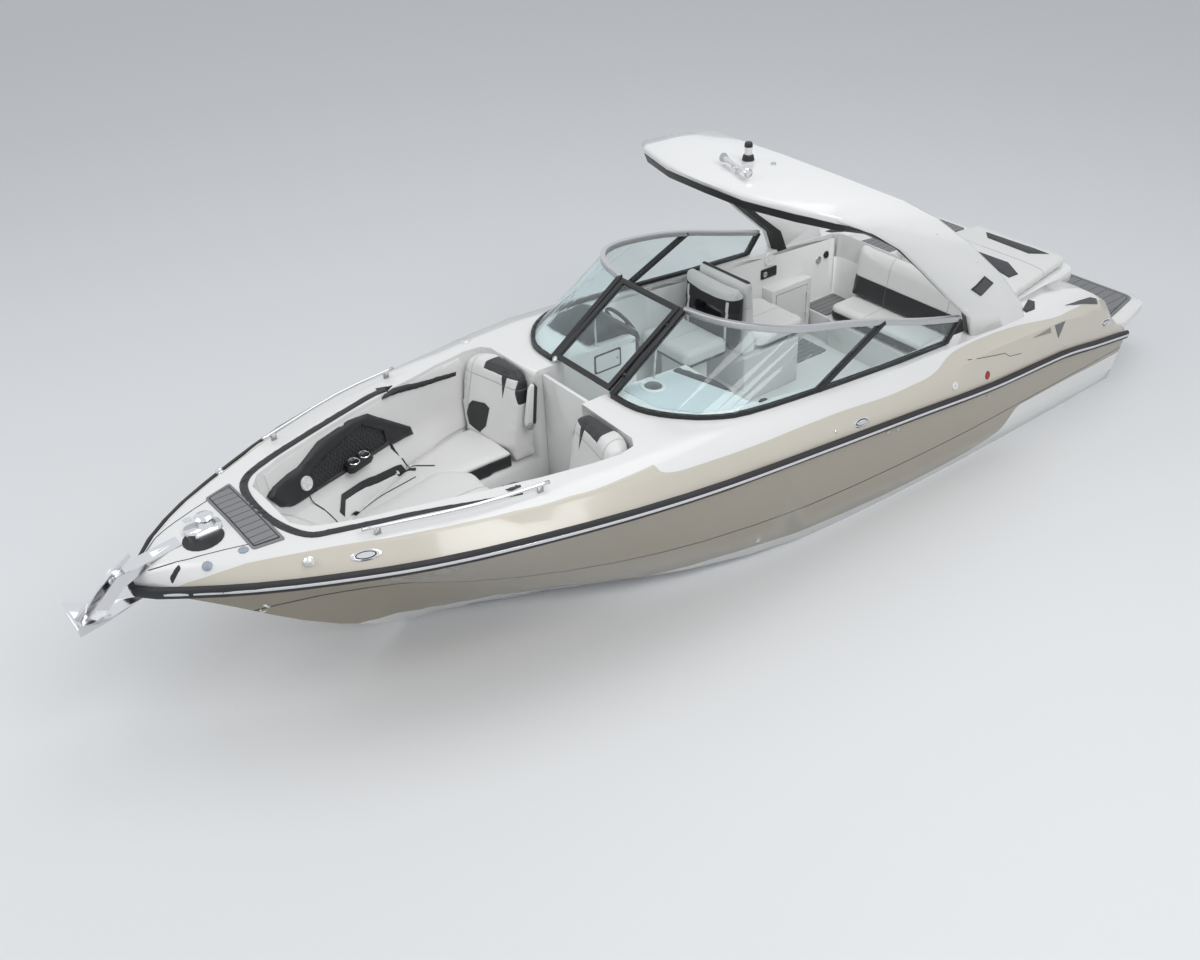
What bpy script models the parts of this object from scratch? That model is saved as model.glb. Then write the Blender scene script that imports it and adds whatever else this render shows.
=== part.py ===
"""A sterndrive bowrider, 9.9 m over its anchor and drive, afloat.

Metres, +X to the bow, +Y to port, +Z up. The origin is on the centreline at the waterline, amidships.
"""

import math

import bmesh
import bpy
from mathutils import Matrix, Vector

for old in list(bpy.data.objects):
    bpy.data.objects.remove(old)

# Driving dimensions
HULL_LENGTH = 8.68
BEAM = 2.80
DRAWN_BEAM = 2.80
WIDEN = BEAM / DRAWN_BEAM
TRANSOM_X = -4.15
SKIN = 0.05
LINER_WALL = 0.035
SEAT_GAP = 0.0003
RUN_GAP = 0.008

# Rub rail
RUB_HEIGHT = 0.075
RUB_DEPTH = 0.032
RUB_GAP = 0.0008
RUB_TIP = 0.002

# Cockpit, walkway and engine bay
COCKPIT_FORE_X = 0.45
COCKPIT_AFT_X = -2.72
SIDE_DECK = 0.30
COCKPIT_HALF = BEAM / 2 - SIDE_DECK
COCKPIT_NARROWING = 0.08
COCKPIT_TAPER = 0.80
COCKPIT_CORNER = 0.10
SOLE_Z = 0.25
WALK_HALF = 0.30
FOOTWELL_AFT_X = 1.24
FOOTWELL_FORE_X = 2.35
FOOTWELL_Z = 0.42
LOUNGE_Z = 0.66
BULKHEAD = 0.06
BAY_FORE_X = COCKPIT_AFT_X - BULKHEAD
BAY_AFT_X = -3.84
BAY_HALF = 0.60
BAY_FLOOR_Z = -0.14
SKY_Z = 2.0

# Engine hatch and its pad
HATCH_SEAT_Z = 0.96
HATCH_FORE_X = -2.735
HATCH_AFT_X = -3.92
HATCH_FORE_HALF = 0.98
HATCH_AFT_HALF = 0.80
HATCH_DEPTH = 0.13
HATCH_SHELL = 0.03
SUNPAD_DEPTH = 0.10
PAD_INSET = 0.03

# Swim platform
PLATFORM_TOP_Z = 0.545
PLATFORM_DEPTH = 0.11
PLATFORM_LENGTH = 0.74
PLATFORM_HALF = 1.26
PLATFORM_AFT_HALF = 1.08
PLATFORM_CORNER = 0.16

# Windscreen
RAIL_WIDTH = 0.034
MULLION_WIDTH = 0.045
GLASS_THICK = 0.008
GLASS_BITE = 0.010
GROOVE_GAP = 0.0008
GATE_HALF = 0.330
GATE_BAR = 0.040
GATE_THICK = 0.028
GATE_GAP = 0.0127
GATE_HINGES = (0.14, 0.62)

# Arch
ARCH_THICK = 0.09
ARCH_CROWN = 0.035

# Walk-through door
DOOR_THICK = 0.03
DOOR_X = 1.33
DOOR_FLOOR_GAP = 0.012
DOOR_TOP_Z = 1.36
HINGE_INSET = 0.016
PIVOT_RADIUS = 0.012

# Hinges of the gate and the locker: barrel, its lift off the face, and the length of a knuckle
BARREL_RADIUS = 0.007
BARREL_LIFT = 0.0085
KNUCKLE_LENGTH = 0.03
LEAF_REACH = 0.026
LEAF_BITE = 0.003
LEAF_INSET = 0.0015

# Locker in the starboard side
LOCKER_FORE_X = -1.72
LOCKER_LENGTH = 0.52
LOCKER_DEPTH = 0.14
LOCKER_TOP_Z = 0.86
LOCKER_FRAME = 0.05
LOCKER_DOOR_THICK = 0.02

# Helm
WHEEL_CENTRE = (0.19, -0.80, 1.20)
WHEEL_RADIUS = 0.18
WHEEL_RIM = 0.016
WHEEL_RAKE = 28.0
COLUMN_RADIUS = 0.028

# Seats
CUSHION_DEPTH = 0.15
BENCH_SEAT_Z = 0.52
BENCH_DEPTH = 0.50
STEP_LENGTH = 0.46
STEP_Z = 0.51
BACK_THICK = 0.15
HELM_SEAT_X = -0.16
HELM_SEAT_Z = 0.80
HELM_SEAT_LENGTH = 0.50
HELM_SIDE_GAP = 0.06
HELM_SEAT_WIDTH = 0.66
HELM_SEAT_OUT_Y = HELM_SIDE_GAP - COCKPIT_HALF
HELM_SEAT_IN_Y = HELM_SEAT_OUT_Y + HELM_SEAT_WIDTH
LOUNGE_WIDTH = 0.48
CABINET_TOP_Z = 0.70
CABINET_AFT_X = -1.50

# Bow roller
ROLLER_RADIUS = 0.03
ROLLER_CENTRE = (4.6316, 0.0, 1.2631)

# Sterndrive
STEER_X = -4.40
DRIVE_AXLE_Z = 0.0
PROP_Z = -0.62
PROP_X = -4.98
PROP_RADIUS = 0.19
PROP_BLADES = 4
TORPEDO_RADIUS = 0.075
SWIVEL_RADIUS = 0.024

# One row for each station: share of length from the transom, keel height, chine half-breadth as
# a share of half the beam, chine height, rail half-breadth as the same share, rail height, then
# inset and rise of the band above the rail, inset and rise of the deck edge, and crown height.
STATIONS = (
    (0.000, -0.450, 0.871, -0.100, 0.950, 0.510, 0.010, 0.020, 0.030, 0.055, 0.575),
    (0.008, -0.450, 0.872, -0.099, 0.953, 0.522, 0.013, 0.025, 0.035, 0.065, 0.660),
    (0.018, -0.450, 0.873, -0.098, 0.955, 0.538, 0.020, 0.060, 0.045, 0.110, 0.990),
    (0.029, -0.450, 0.874, -0.097, 0.957, 0.550, 0.030, 0.110, 0.060, 0.200, 1.000),
    (0.046, -0.450, 0.876, -0.094, 0.963, 0.576, 0.040, 0.200, 0.085, 0.370, 1.030),
    (0.070, -0.450, 0.879, -0.089, 0.970, 0.611, 0.045, 0.270, 0.110, 0.465, 1.080),
    (0.1325, -0.450, 0.882, -0.080, 0.979, 0.698, 0.050, 0.310, 0.135, 0.430, 1.135),
    (0.2477, -0.450, 0.886, -0.060, 0.993, 0.765, 0.055, 0.310, 0.155, 0.420, 1.190),
    (0.3629, -0.445, 0.871, -0.030, 1.000, 0.880, 0.060, 0.190, 0.165, 0.350, 1.250),
    (0.4781, -0.430, 0.836, 0.020, 1.000, 0.985, 0.065, 0.200, 0.160, 0.320, 1.335),
    (0.5933, -0.360, 0.714, 0.120, 0.993, 1.090, 0.085, 0.150, 0.150, 0.270, 1.410),
    (0.6797, -0.260, 0.554, 0.240, 0.953, 1.165, 0.115, 0.125, 0.165, 0.185, 1.405),
    (0.7661, -0.110, 0.357, 0.440, 0.857, 1.218, 0.140, 0.130, 0.185, 0.150, 1.395),
    (0.8353, 0.100, 0.196, 0.655, 0.721, 1.231, 0.140, 0.128, 0.190, 0.140, 1.390),
    (0.8929, 0.410, 0.089, 0.860, 0.550, 1.232, 0.135, 0.125, 0.180, 0.135, 1.385),
    (0.9389, 0.740, 0.029, 0.985, 0.386, 1.232, 0.110, 0.115, 0.150, 0.130, 1.385),
    (0.9735, 0.980, 0.012, 1.090, 0.221, 1.220, 0.080, 0.095, 0.110, 0.120, 1.370),
    (0.9908, 1.090, 0.008, 1.130, 0.107, 1.195, 0.040, 0.060, 0.060, 0.090, 1.325),
    (1.0000, 1.130, 0.004, 1.150, 0.015, 1.175, 0.005, 0.030, 0.009, 0.060, 1.250),
)

# One row for each section of the bow well: x, floor half-breadth, floor height, half-breadth at
# mid height, half-breadth at the coaming.
BOW_WELL = (
    (1.42, 0.74, LOUNGE_Z, 0.84, 0.88),
    (1.47, 0.82, LOUNGE_Z, 0.92, 0.96),
    (1.60, 0.84, LOUNGE_Z, 0.94, 0.98),
    (1.90, 0.78, LOUNGE_Z, 0.88, 0.93),
    (2.30, 0.62, LOUNGE_Z, 0.76, 0.84),
    (2.70, 0.40, LOUNGE_Z, 0.62, 0.73),
    (3.05, 0.20, LOUNGE_Z, 0.50, 0.62),
    (3.35, 0.12, 0.82, 0.38, 0.53),
    (3.55, 0.08, 0.95, 0.28, 0.44),
    (3.63, 0.05, 1.02, 0.18, 0.33),
)
WELL_MID_Z = 0.98

# Windscreen, port half, from the gate aft: foot x, y on the deck, then head x, y, z.
SCREEN = (
    (1.198, 0.365, 0.523, 0.372, 1.871),
    (1.170, 0.620, 0.460, 0.640, 1.866),
    (1.040, 0.840, 0.300, 0.867, 1.849),
    (0.840, 1.010, 0.020, 1.020, 1.800),
    (0.560, 1.110, -0.400, 1.090, 1.730),
    (-0.100, 1.150, -0.800, 1.130, 1.637),
    (-0.850, 1.160, -1.200, 1.160, 1.521),
    (-1.560, 1.165, -1.700, 1.165, 1.390),
)

# Arch, port half, from the foot up: fore edge x, y, z, then aft edge x, y, z.
ARCH = (
    (-1.870, 1.190, 1.165, -2.570, 1.200, 1.150),
    (-1.780, 1.190, 1.380, -2.500, 1.220, 1.260),
    (-1.470, 1.190, 1.640, -2.420, 1.225, 1.360),
    (-1.150, 1.185, 1.930, -2.090, 1.230, 1.680),
    (-0.840, 1.175, 2.210, -1.620, 1.200, 2.070),
    (-0.540, 1.150, 2.410, -1.260, 1.150, 2.340),
    (-0.260, 1.060, 2.550, -1.020, 1.040, 2.490),
    (-0.080, 0.820, 2.600, -0.870, 0.800, 2.570),
    (0.040, 0.420, 2.610, -0.820, 0.400, 2.600),
    (0.060, 0.000, 2.615, -0.810, 0.000, 2.610),
)

# Anchor fluke, from its point: x, keel height, plate depth, then wing x, half-breadth and height.
FLUKE = (
    (4.50, 1.085, 0.008, 4.50, 0.010, 1.095),
    (4.70, 1.030, 0.030, 4.70, 0.090, 1.105),
    (4.90, 0.995, 0.040, 4.915, 0.150, 1.180),
)

# One row for each finish: red, green, blue, roughness, metallic.
FINISHES = {
    "taupe_gelcoat": (0.38, 0.34, 0.27, 0.25, 0.0),
    "white_gelcoat": (0.85, 0.85, 0.84, 0.25, 0.0),
    "stainless": (0.72, 0.72, 0.73, 0.15, 1.0),
    "black_trim": (0.02, 0.02, 0.02, 0.45, 0.0),
    "tinted_glass": (0.35, 0.50, 0.52, 0.05, 0.0),
    "white_vinyl": (0.82, 0.82, 0.80, 0.55, 0.0),
    "charcoal_vinyl": (0.045, 0.045, 0.05, 0.55, 0.0),
    "black_paint": (0.03, 0.03, 0.035, 0.35, 0.2),
}


def material(name):
    """The named finish as a Principled material."""
    found = bpy.data.materials.get(name)
    if found:
        return found
    red, green, blue, roughness, metallic = FINISHES[name]
    found = bpy.data.materials.new(name)
    found.use_nodes = True
    shader = found.node_tree.nodes["Principled BSDF"]
    shader.inputs["Base Color"].default_value = (red, green, blue, 1.0)
    shader.inputs["Roughness"].default_value = roughness
    shader.inputs["Metallic"].default_value = metallic
    return found


def add(name, points, faces, finish):
    """One mesh object, its faces turned outwards."""
    mesh = bpy.data.meshes.new(name)
    mesh.from_pydata([tuple(point) for point in points], [], faces)
    work = bmesh.new()
    work.from_mesh(mesh)
    bmesh.ops.recalc_face_normals(work, faces=work.faces)
    bmesh.ops.triangulate(work, faces=work.faces, quad_method="FIXED", ngon_method="BEAUTY")
    work.to_mesh(mesh)
    work.free()
    mesh.materials.append(material(finish))
    made = bpy.data.objects.new(name, mesh)
    bpy.context.scene.collection.objects.link(made)
    return made


def loft(name, rings, finish, closed=False):
    """A skin over rings of equally many points, capped at both ends unless it closes on itself."""
    count = len(rings[0])
    points = [point for ring in rings for point in ring]
    spans = len(rings) if closed else len(rings) - 1
    faces = []
    for row in range(spans):
        here = row * count
        there = ((row + 1) % len(rings)) * count
        for step in range(count):
            after = (step + 1) % count
            faces.append((here + step, here + after, there + after, there + step))
    if not closed:
        faces.append(tuple(range(count)))
        faces.append(tuple(range(len(points) - count, len(points))))
    return add(name, points, faces, finish)


def prism(name, outline, low, high, finish, axis="Z"):
    """An outline pushed from low to high along an axis: x, y for Z, and x, z for Y."""
    if axis == "Z":
        rings = [[(x, y, level) for x, y in outline] for level in (low, high)]
    else:
        rings = [[(x, level, z) for x, z in outline] for level in (low, high)]
    return loft(name, rings, finish)


def block(name, low, high, finish):
    """A box between two corners."""
    outline = [(low[0], low[1]), (high[0], low[1]), (high[0], high[1]), (low[0], high[1])]
    return prism(name, outline, low[2], high[2], finish)


def rounded(outline, radius, steps=4):
    """An outline with its corners turned on a radius."""
    made = []
    for place, corner in enumerate(outline):
        here = Vector(corner)
        before = Vector(outline[place - 1]) - here
        after = Vector(outline[(place + 1) % len(outline)]) - here
        half = before.angle(after) / 2
        reach = min(radius / math.tan(half), 0.45 * before.length, 0.45 * after.length)
        turn = reach * math.tan(half)
        middle = here + (before.normalized() + after.normalized()).normalized() * turn / math.sin(half)
        start = here + before.normalized() * reach - middle
        sweep = start.angle_signed(here + after.normalized() * reach - middle)
        for step in range(steps + 1):
            angle = -sweep * step / steps
            spun = Matrix.Rotation(angle, 2) @ start
            made.append(tuple(middle + spun))
    return made


def turned(name, profile, finish, centre, axis, steps=20):
    """A profile of radius and distance along the axis, spun round it."""
    axis = Vector(axis).normalized()
    side = axis.orthogonal().normalized()
    other = axis.cross(side)
    rings = []
    for step in range(steps):
        angle = 2 * math.pi * step / steps
        out = side * math.cos(angle) + other * math.sin(angle)
        rings.append([Vector(centre) + out * radius + axis * along for radius, along in profile])
    return rings_to_turned(name, rings, profile, finish, centre, axis)


def rings_to_turned(name, rings, profile, finish, centre, axis):
    """Closes the spun profile, whose first and last points may lie on the axis."""
    steps = len(rings)
    count = len(profile)
    points = [point for ring in rings for point in ring]
    faces = []
    for row in range(steps):
        here = row * count
        there = ((row + 1) % steps) * count
        for step in range(count - 1):
            faces.append((here + step, here + step + 1, there + step + 1, there + step))
    first = [row * count for row in range(steps)]
    last = [row * count + count - 1 for row in range(steps)]
    faces.append(tuple(reversed(first)))
    faces.append(tuple(last))
    return add(name, points, faces, finish)


def swept(name, path, profile, finish, closed=False, up=(0, 0, 1)):
    """A profile of outward and upward offsets carried along a path."""
    path = [Vector(point) for point in path]
    rings = []
    for place, point in enumerate(path):
        before = path[place - 1] if place or closed else point
        after = path[(place + 1) % len(path)] if place + 1 < len(path) or closed else point
        along = (after - before).normalized()
        out = along.cross(Vector(up)).normalized()
        rise = out.cross(along).normalized()
        stretch = 1.0
        if before != point and after != point:
            turn = (point - before).angle(after - point)
            stretch = 1.0 / math.cos(min(turn, 1.2) / 2)
        rings.append([point + out * across * stretch + rise * lift for across, lift in profile])
    return loft(name, rings, finish, closed)


def round_profile(radius, steps=8):
    """A circle as offsets for swept."""
    turn = 2 * math.pi / steps
    return [(radius * math.cos(turn * step), radius * math.sin(turn * step)) for step in range(steps)]


def square_profile(width, height):
    """A rectangle as offsets for swept, centred on the path."""
    return [(-width / 2, -height / 2), (width / 2, -height / 2), (width / 2, height / 2), (-width / 2, height / 2)]


def apply_boolean(target, tool, operation):
    """Cuts, joins or intersects the target's mesh with the tool, which is left as it is."""
    modifier = target.modifiers.new("boolean", "BOOLEAN")
    modifier.operation = operation
    modifier.solver = "EXACT"
    modifier.object = tool
    bpy.context.view_layer.update()
    graph = bpy.context.evaluated_depsgraph_get()
    baked = bpy.data.meshes.new_from_object(target.evaluated_get(graph))
    target.modifiers.clear()
    target.data = baked
    return target


def cut(target, *tools):
    """Subtracts tools and removes them."""
    for tool in tools:
        apply_boolean(target, tool, "DIFFERENCE")
        bpy.data.objects.remove(tool)
    return target


def joined(target, *tools):
    """Joins tools to the target and removes them."""
    for tool in tools:
        apply_boolean(target, tool, "UNION")
        bpy.data.objects.remove(tool)
    return target


def mirrored(points):
    """A port half-section, keel or crown first, with its starboard half added."""
    return points + [(x, -y, z) for x, y, z in reversed(points) if y > 1e-6]


def monotone(rows, column, share):
    """Smooth value of a column of the table at a share of the length, with no overshoot."""
    index = 0
    while index < len(rows) - 2 and rows[index + 1][0] < share:
        index += 1
    low, high = rows[index], rows[index + 1]
    span = high[0] - low[0]
    slope = (high[column] - low[column]) / span

    def tangent(place):
        if place == 0 or place == len(rows) - 1:
            return slope
        left = (rows[place][column] - rows[place - 1][column]) / (rows[place][0] - rows[place - 1][0])
        right = (rows[place + 1][column] - rows[place][column]) / (rows[place + 1][0] - rows[place][0])
        if left * right <= 0:
            return 0.0
        return 2 * left * right / (left + right)

    part = (share - low[0]) / span
    start, end = tangent(index) * span, tangent(index + 1) * span
    square, cube = part * part, part ** 3
    return (
        (2 * cube - 3 * square + 1) * low[column]
        + (cube - 2 * square + part) * start
        + (3 * square - 2 * cube) * high[column]
        + (cube - square) * end
    )


class Station:
    """The moulded lines of hull and deck at one x."""

    def __init__(self, share):
        half = BEAM / 2
        values = [monotone(STATIONS, column, share) for column in range(1, 11)]
        self.x = TRANSOM_X + share * HULL_LENGTH
        self.keel = values[0]
        self.chine_y = values[1] * half
        self.chine_z = values[2]
        self.rail_y = values[3] * half
        self.rail_z = values[4]
        self.band_y = self.rail_y - values[5]
        self.band_z = self.rail_z + values[6]
        self.edge_y = self.rail_y - values[7]
        self.edge_z = self.rail_z + values[8]
        self.crown = values[9]


def station_at(x):
    return Station((x - TRANSOM_X) / HULL_LENGTH)


def loft_shares():
    """The table's shares with one more between each two that lie far apart."""
    shares = [STATIONS[0][0]]
    for row in STATIONS[1:]:
        if row[0] - shares[-1] > 0.03:
            shares.append((row[0] + shares[-1]) / 2)
        shares.append(row[0])
    return shares


LINES = [Station(share) for share in loft_shares()]


def hull_ring(line):
    """Keel, belly, strake, chine, boot top and rail, port and starboard."""
    belly = (line.x, 0.5 * line.chine_y, line.keel + 0.42 * (line.chine_z - line.keel))
    strake = (line.x, 0.80 * line.chine_y, line.keel + 0.76 * (line.chine_z - line.keel))
    side = line.rail_z - line.chine_z
    bulge = 0.012 * min(1.0, line.rail_y / 0.5)
    low_side = (
        line.x,
        line.chine_y + 0.35 * (line.rail_y - line.chine_y) + bulge,
        line.chine_z + 0.35 * side,
    )
    return mirrored([
        (line.x, 0.0, line.keel),
        belly,
        strake,
        (line.x, line.chine_y, line.chine_z),
        low_side,
        (line.x, line.rail_y, line.rail_z - SEAT_GAP),
    ])


def deck_ring(line):
    """Rail, band, edge, shoulder and crown, port and starboard, over a flat underside."""
    shoulder = (line.x, 0.86 * line.edge_y, line.edge_z + 0.35 * (line.crown - line.edge_z))
    port = [
        (line.x, line.rail_y, line.rail_z),
        (line.x, line.band_y, line.band_z),
        (line.x, line.edge_y, line.edge_z),
        shoulder,
    ]
    starboard = [(x, -y, z) for x, y, z in reversed(port)]
    return port + [(line.x, 0.0, line.crown)] + starboard


def cavity_ring(line, gap):
    """The space inside hull and deck skins, narrower by a gap."""
    wall = SKIN + gap
    top = line.crown
    edge = line.edge_z
    if line.x < COCKPIT_AFT_X + SKIN:
        top = min(top, HATCH_SEAT_Z)
        edge = min(edge, HATCH_SEAT_Z)
    return mirrored([
        (line.x, 0.0, line.keel + wall),
        (line.x, max(0.01, line.chine_y - wall), line.chine_z + 0.6 * wall),
        (line.x, line.rail_y - wall, line.rail_z),
        (line.x, line.edge_y - wall, edge - wall),
        (line.x, 0.80 * line.edge_y, top - wall),
        (line.x, 0.0, top - wall),
    ])


CAVITY_AFT_X = -3.95
CAVITY_FORE_X = 3.72


def cavity(name, gap=0.0):
    """The hollow between the stern wall and the collision bulkhead."""
    ends = [station_at(CAVITY_AFT_X + gap), station_at(CAVITY_FORE_X - gap)]
    step = [station_at(COCKPIT_AFT_X + SKIN + 0.001), station_at(COCKPIT_AFT_X + SKIN - 0.001)]
    inner = [line for line in LINES if CAVITY_AFT_X + 0.02 < line.x < CAVITY_FORE_X - 0.02]
    lines = sorted(inner + ends + step, key=lambda line: line.x)
    return loft(name, [cavity_ring(line, gap) for line in lines], "white_gelcoat")


def cockpit_well(grow=0.0):
    aft, fore = COCKPIT_AFT_X - grow, COCKPIT_FORE_X + grow
    wide = COCKPIT_HALF + grow
    narrow = wide - COCKPIT_NARROWING
    bend = COCKPIT_FORE_X - COCKPIT_TAPER
    outline = [(aft, -wide), (bend, -wide), (fore, -narrow), (fore, narrow), (bend, wide), (aft, wide)]
    outline = rounded(outline, COCKPIT_CORNER + grow)
    return prism("well", outline, SOLE_Z - grow, SKY_Z, "white_gelcoat")


def walkway_well(grow=0.0):
    low = (COCKPIT_FORE_X - 0.05, -WALK_HALF - grow, SOLE_Z - grow)
    high = (FOOTWELL_AFT_X + grow, WALK_HALF + grow, SKY_Z)
    return block("well", low, high, "white_gelcoat")


def footwell(grow=0.0):
    low = (FOOTWELL_AFT_X - 0.05, -WALK_HALF - grow, FOOTWELL_Z - grow)
    high = (FOOTWELL_FORE_X + grow, WALK_HALF + grow, LOUNGE_Z + 0.1)
    aft_high = (BOW_WELL[0][0] + 0.05, WALK_HALF + grow, SKY_Z)
    return block("well", low, high, "white_gelcoat"), block("well", low, aft_high, "white_gelcoat")


def bow_well(grow=0.0):
    rings = []
    for row, (x, floor_y, floor_z, mid_y, top_y) in enumerate(BOW_WELL):
        floor_y, mid_y, top_y = floor_y * WIDEN, mid_y * WIDEN, top_y * WIDEN
        if row == 0:
            x -= grow
        if row == len(BOW_WELL) - 1:
            x += grow
        rings.append(mirrored([
            (x, 0.0, floor_z - grow),
            (x, floor_y + grow, floor_z - grow),
            (x, mid_y + grow, WELL_MID_Z + max(0.0, floor_z - 0.9)),
            (x, top_y + grow, SKY_Z - 0.4),
            (x, 0.0, SKY_Z - 0.4),
        ]))
    return loft("well", rings, "white_gelcoat")


def engine_bay(grow=0.0):
    low = (BAY_AFT_X - grow, -BAY_HALF - grow, BAY_FLOOR_Z - grow)
    high = (BAY_FORE_X + grow, BAY_HALF + grow, SKY_Z)
    return block("well", low, high, "white_gelcoat")


def wells(grow=0.0):
    return [cockpit_well(grow), walkway_well(grow), *footwell(grow), bow_well(grow), engine_bay(grow)]


def hatch_outline(grow):
    corners = [
        (HATCH_AFT_X - grow, -HATCH_AFT_HALF - grow),
        (HATCH_FORE_X + grow, -HATCH_FORE_HALF - grow),
        (HATCH_FORE_X + grow, HATCH_FORE_HALF + grow),
        (HATCH_AFT_X - grow, HATCH_AFT_HALF + grow),
    ]
    return rounded(corners, 0.08 + grow)


def make_hull():
    hull = loft("hull", [hull_ring(line) for line in LINES], "taupe_gelcoat")
    return cut(hull, cavity("inside"))


def make_deck():
    deck = loft("deck", [deck_ring(line) for line in LINES], "white_gelcoat")
    recess = prism("recess", hatch_outline(RUN_GAP), HATCH_SEAT_Z, SKY_Z, "white_gelcoat")
    run_out = block(
        "recess",
        (HATCH_AFT_X - 0.4, -HATCH_AFT_HALF - RUN_GAP, HATCH_SEAT_Z),
        (HATCH_AFT_X + 0.1, HATCH_AFT_HALF + RUN_GAP, SKY_Z),
        "white_gelcoat",
    )
    return cut(deck, cavity("inside"), recess, run_out, *wells())


def make_liner():
    outer = wells(LINER_WALL)
    liner = joined(outer[0], *outer[1:])
    liner.name = "liner"
    room = cavity("room", 2 * SEAT_GAP)
    apply_boolean(liner, room, "INTERSECT")
    bpy.data.objects.remove(room)
    return cut(liner, *wells())


def make_rub_rail():
    side = [(line.x, -line.rail_y, line.rail_z) for line in LINES]
    tip_x, tip_y, tip_z = side[-1]
    side[-1] = (tip_x + RUB_TIP, tip_y, tip_z)
    path = side + [(x, -y, z) for x, y, z in reversed(side)]
    half = RUB_HEIGHT / 2
    profile = [
        (RUB_GAP, -half),
        (RUB_DEPTH * 0.7, -half),
        (RUB_DEPTH, -half * 0.6),
        (RUB_DEPTH, half * 0.6),
        (RUB_DEPTH * 0.7, half),
        (RUB_GAP, half),
    ]
    return swept("rub_rail", path, profile[::-1], "black_trim")


def deck_z(x, y):
    """Height of the deck's skin at a place."""
    after = next((place for place, line in enumerate(LINES) if line.x > x), len(LINES) - 1)
    levels = []
    for line in (LINES[after - 1], LINES[after]):
        across = [(point[1], point[2]) for point in deck_ring(line)[:5]]
        level = across[0][1]
        for (far, far_z), (near, near_z) in zip(across, across[1:]):
            if near <= abs(y) <= far:
                level = near_z + (far_z - near_z) * (abs(y) - near) / (far - near)
        levels.append(level)
    part = (x - LINES[after - 1].x) / (LINES[after].x - LINES[after - 1].x)
    return levels[0] + part * (levels[1] - levels[0])


def smoothed(points, per_span=3):
    """Points along a smooth curve through the given ones."""
    points = [Vector(point) for point in points]
    made = []
    for place in range(len(points) - 1):
        before = points[max(0, place - 1)]
        start, end = points[place], points[place + 1]
        after = points[min(len(points) - 1, place + 2)]
        for step in range(per_span):
            part = step / per_span
            made.append(0.5 * (
                2 * start
                + (end - before) * part
                + (2 * before - 5 * start + 4 * end - after) * part ** 2
                + (3 * start - before - 3 * end + after) * part ** 3
            ))
    made.append(points[-1])
    return made


def inset(outline, distance):
    """An outline moved inwards by a distance, whichever way it runs."""
    area = sum(a[0] * b[1] - b[0] * a[1] for a, b in zip(outline, outline[1:] + outline[:1]))
    turn = 1 if area > 0 else -1
    made = []
    for place, corner in enumerate(outline):
        here = Vector(corner)
        before = (here - Vector(outline[place - 1])).normalized()
        after = (Vector(outline[(place + 1) % len(outline)]) - here).normalized()
        normal = (Vector((-before.y, before.x)) + Vector((-after.y, after.x))) * turn
        normal.normalize()
        spread = max(0.5, normal.dot(Vector((-after.y, after.x)) * turn))
        made.append(tuple(here + normal * distance / spread))
    return made


def padded(name, outline, low, high, finish, ease=0.025):
    """A cushion's plain solid: upright sides and eased upper edges."""
    levels = [(outline, low), (outline, high - ease), (inset(outline, ease), high)]
    return loft(name, [[(x, y, z) for x, y in shape] for shape, z in levels], finish)


def upright_pad(name, profile, side_a, side_b, finish, ease=0.025):
    """A backrest's plain solid: an x, z profile across the boat, its ends eased."""
    near, far = min(side_a, side_b), max(side_a, side_b)
    levels = [
        (inset(profile, ease), near),
        (profile, near + ease),
        (profile, far - ease),
        (inset(profile, ease), far),
    ]
    return loft(name, [[(x, y, z) for x, z in shape] for shape, y in levels], finish)


def seat_on_deck(piece):
    """Trims what reaches into the deck, so that the piece rests on it."""
    seat = bpy.data.objects.new("seat", DECK.data)
    bpy.context.scene.collection.objects.link(seat)
    seat.location.z = SEAT_GAP
    bpy.context.view_layer.update()
    return cut(piece, seat)


def make_platform():
    """The swim platform: a rounded slab over a shallower moulded underside."""
    start = TRANSOM_X - SEAT_GAP
    end = TRANSOM_X - PLATFORM_LENGTH

    def outline(shrink):
        corners = [
            (start, -PLATFORM_HALF + shrink),
            (start, PLATFORM_HALF - shrink),
            (end + shrink, PLATFORM_AFT_HALF - shrink),
            (end + shrink, -PLATFORM_AFT_HALF + shrink),
        ]
        aft = rounded(corners, PLATFORM_CORNER)
        return [(min(x, start), y) for x, y in aft]

    top = PLATFORM_TOP_Z
    levels = [
        (0.20, top - PLATFORM_DEPTH - 0.06),
        (0.03, top - PLATFORM_DEPTH),
        (0.0, top - 0.6 * PLATFORM_DEPTH),
        (0.0, top - 0.01),
        (0.01, top),
    ]
    rings = [[(x, y, z) for x, y in outline(shrink)] for shrink, z in levels]
    return loft("swim_platform", rings, "white_gelcoat")


def arch_rings():
    wide = [(fx, fy * WIDEN, fz, ax, ay * WIDEN, az) for fx, fy, fz, ax, ay, az in ARCH]
    port = [(Vector(row[:3]), Vector(row[3:])) for row in wide]
    starboard = [(Vector((f.x, -f.y, f.z)), Vector((a.x, -a.y, a.z))) for f, a in reversed(port[:-1])]
    pairs = port + starboard
    rings = []
    for place, (fore, aft) in enumerate(pairs):
        before = pairs[max(0, place - 1)]
        after = pairs[min(len(pairs) - 1, place + 1)]
        along = (after[0] + after[1] - before[0] - before[1]).normalized()
        out = along.cross(aft - fore).normalized()
        middle = (fore + aft) / 2
        if out.dot(middle - Vector((middle.x, 0, 1.7))) < 0:
            out.negate()
        crown = out * ARCH_CROWN
        inward = -out * ARCH_THICK
        across = aft - fore
        rings.append([
            fore,
            fore + across * 0.05 + crown * 0.6,
            fore + across * 0.5 + crown,
            fore + across * 0.95 + crown * 0.4,
            aft,
            aft + inward * 0.5 - across * 0.02,
            aft + inward - across * 0.10,
            fore + inward + across * 0.06,
        ])
    return rings


def make_arch():
    return seat_on_deck(loft("arch", arch_rings(), "white_gelcoat"))


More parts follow.
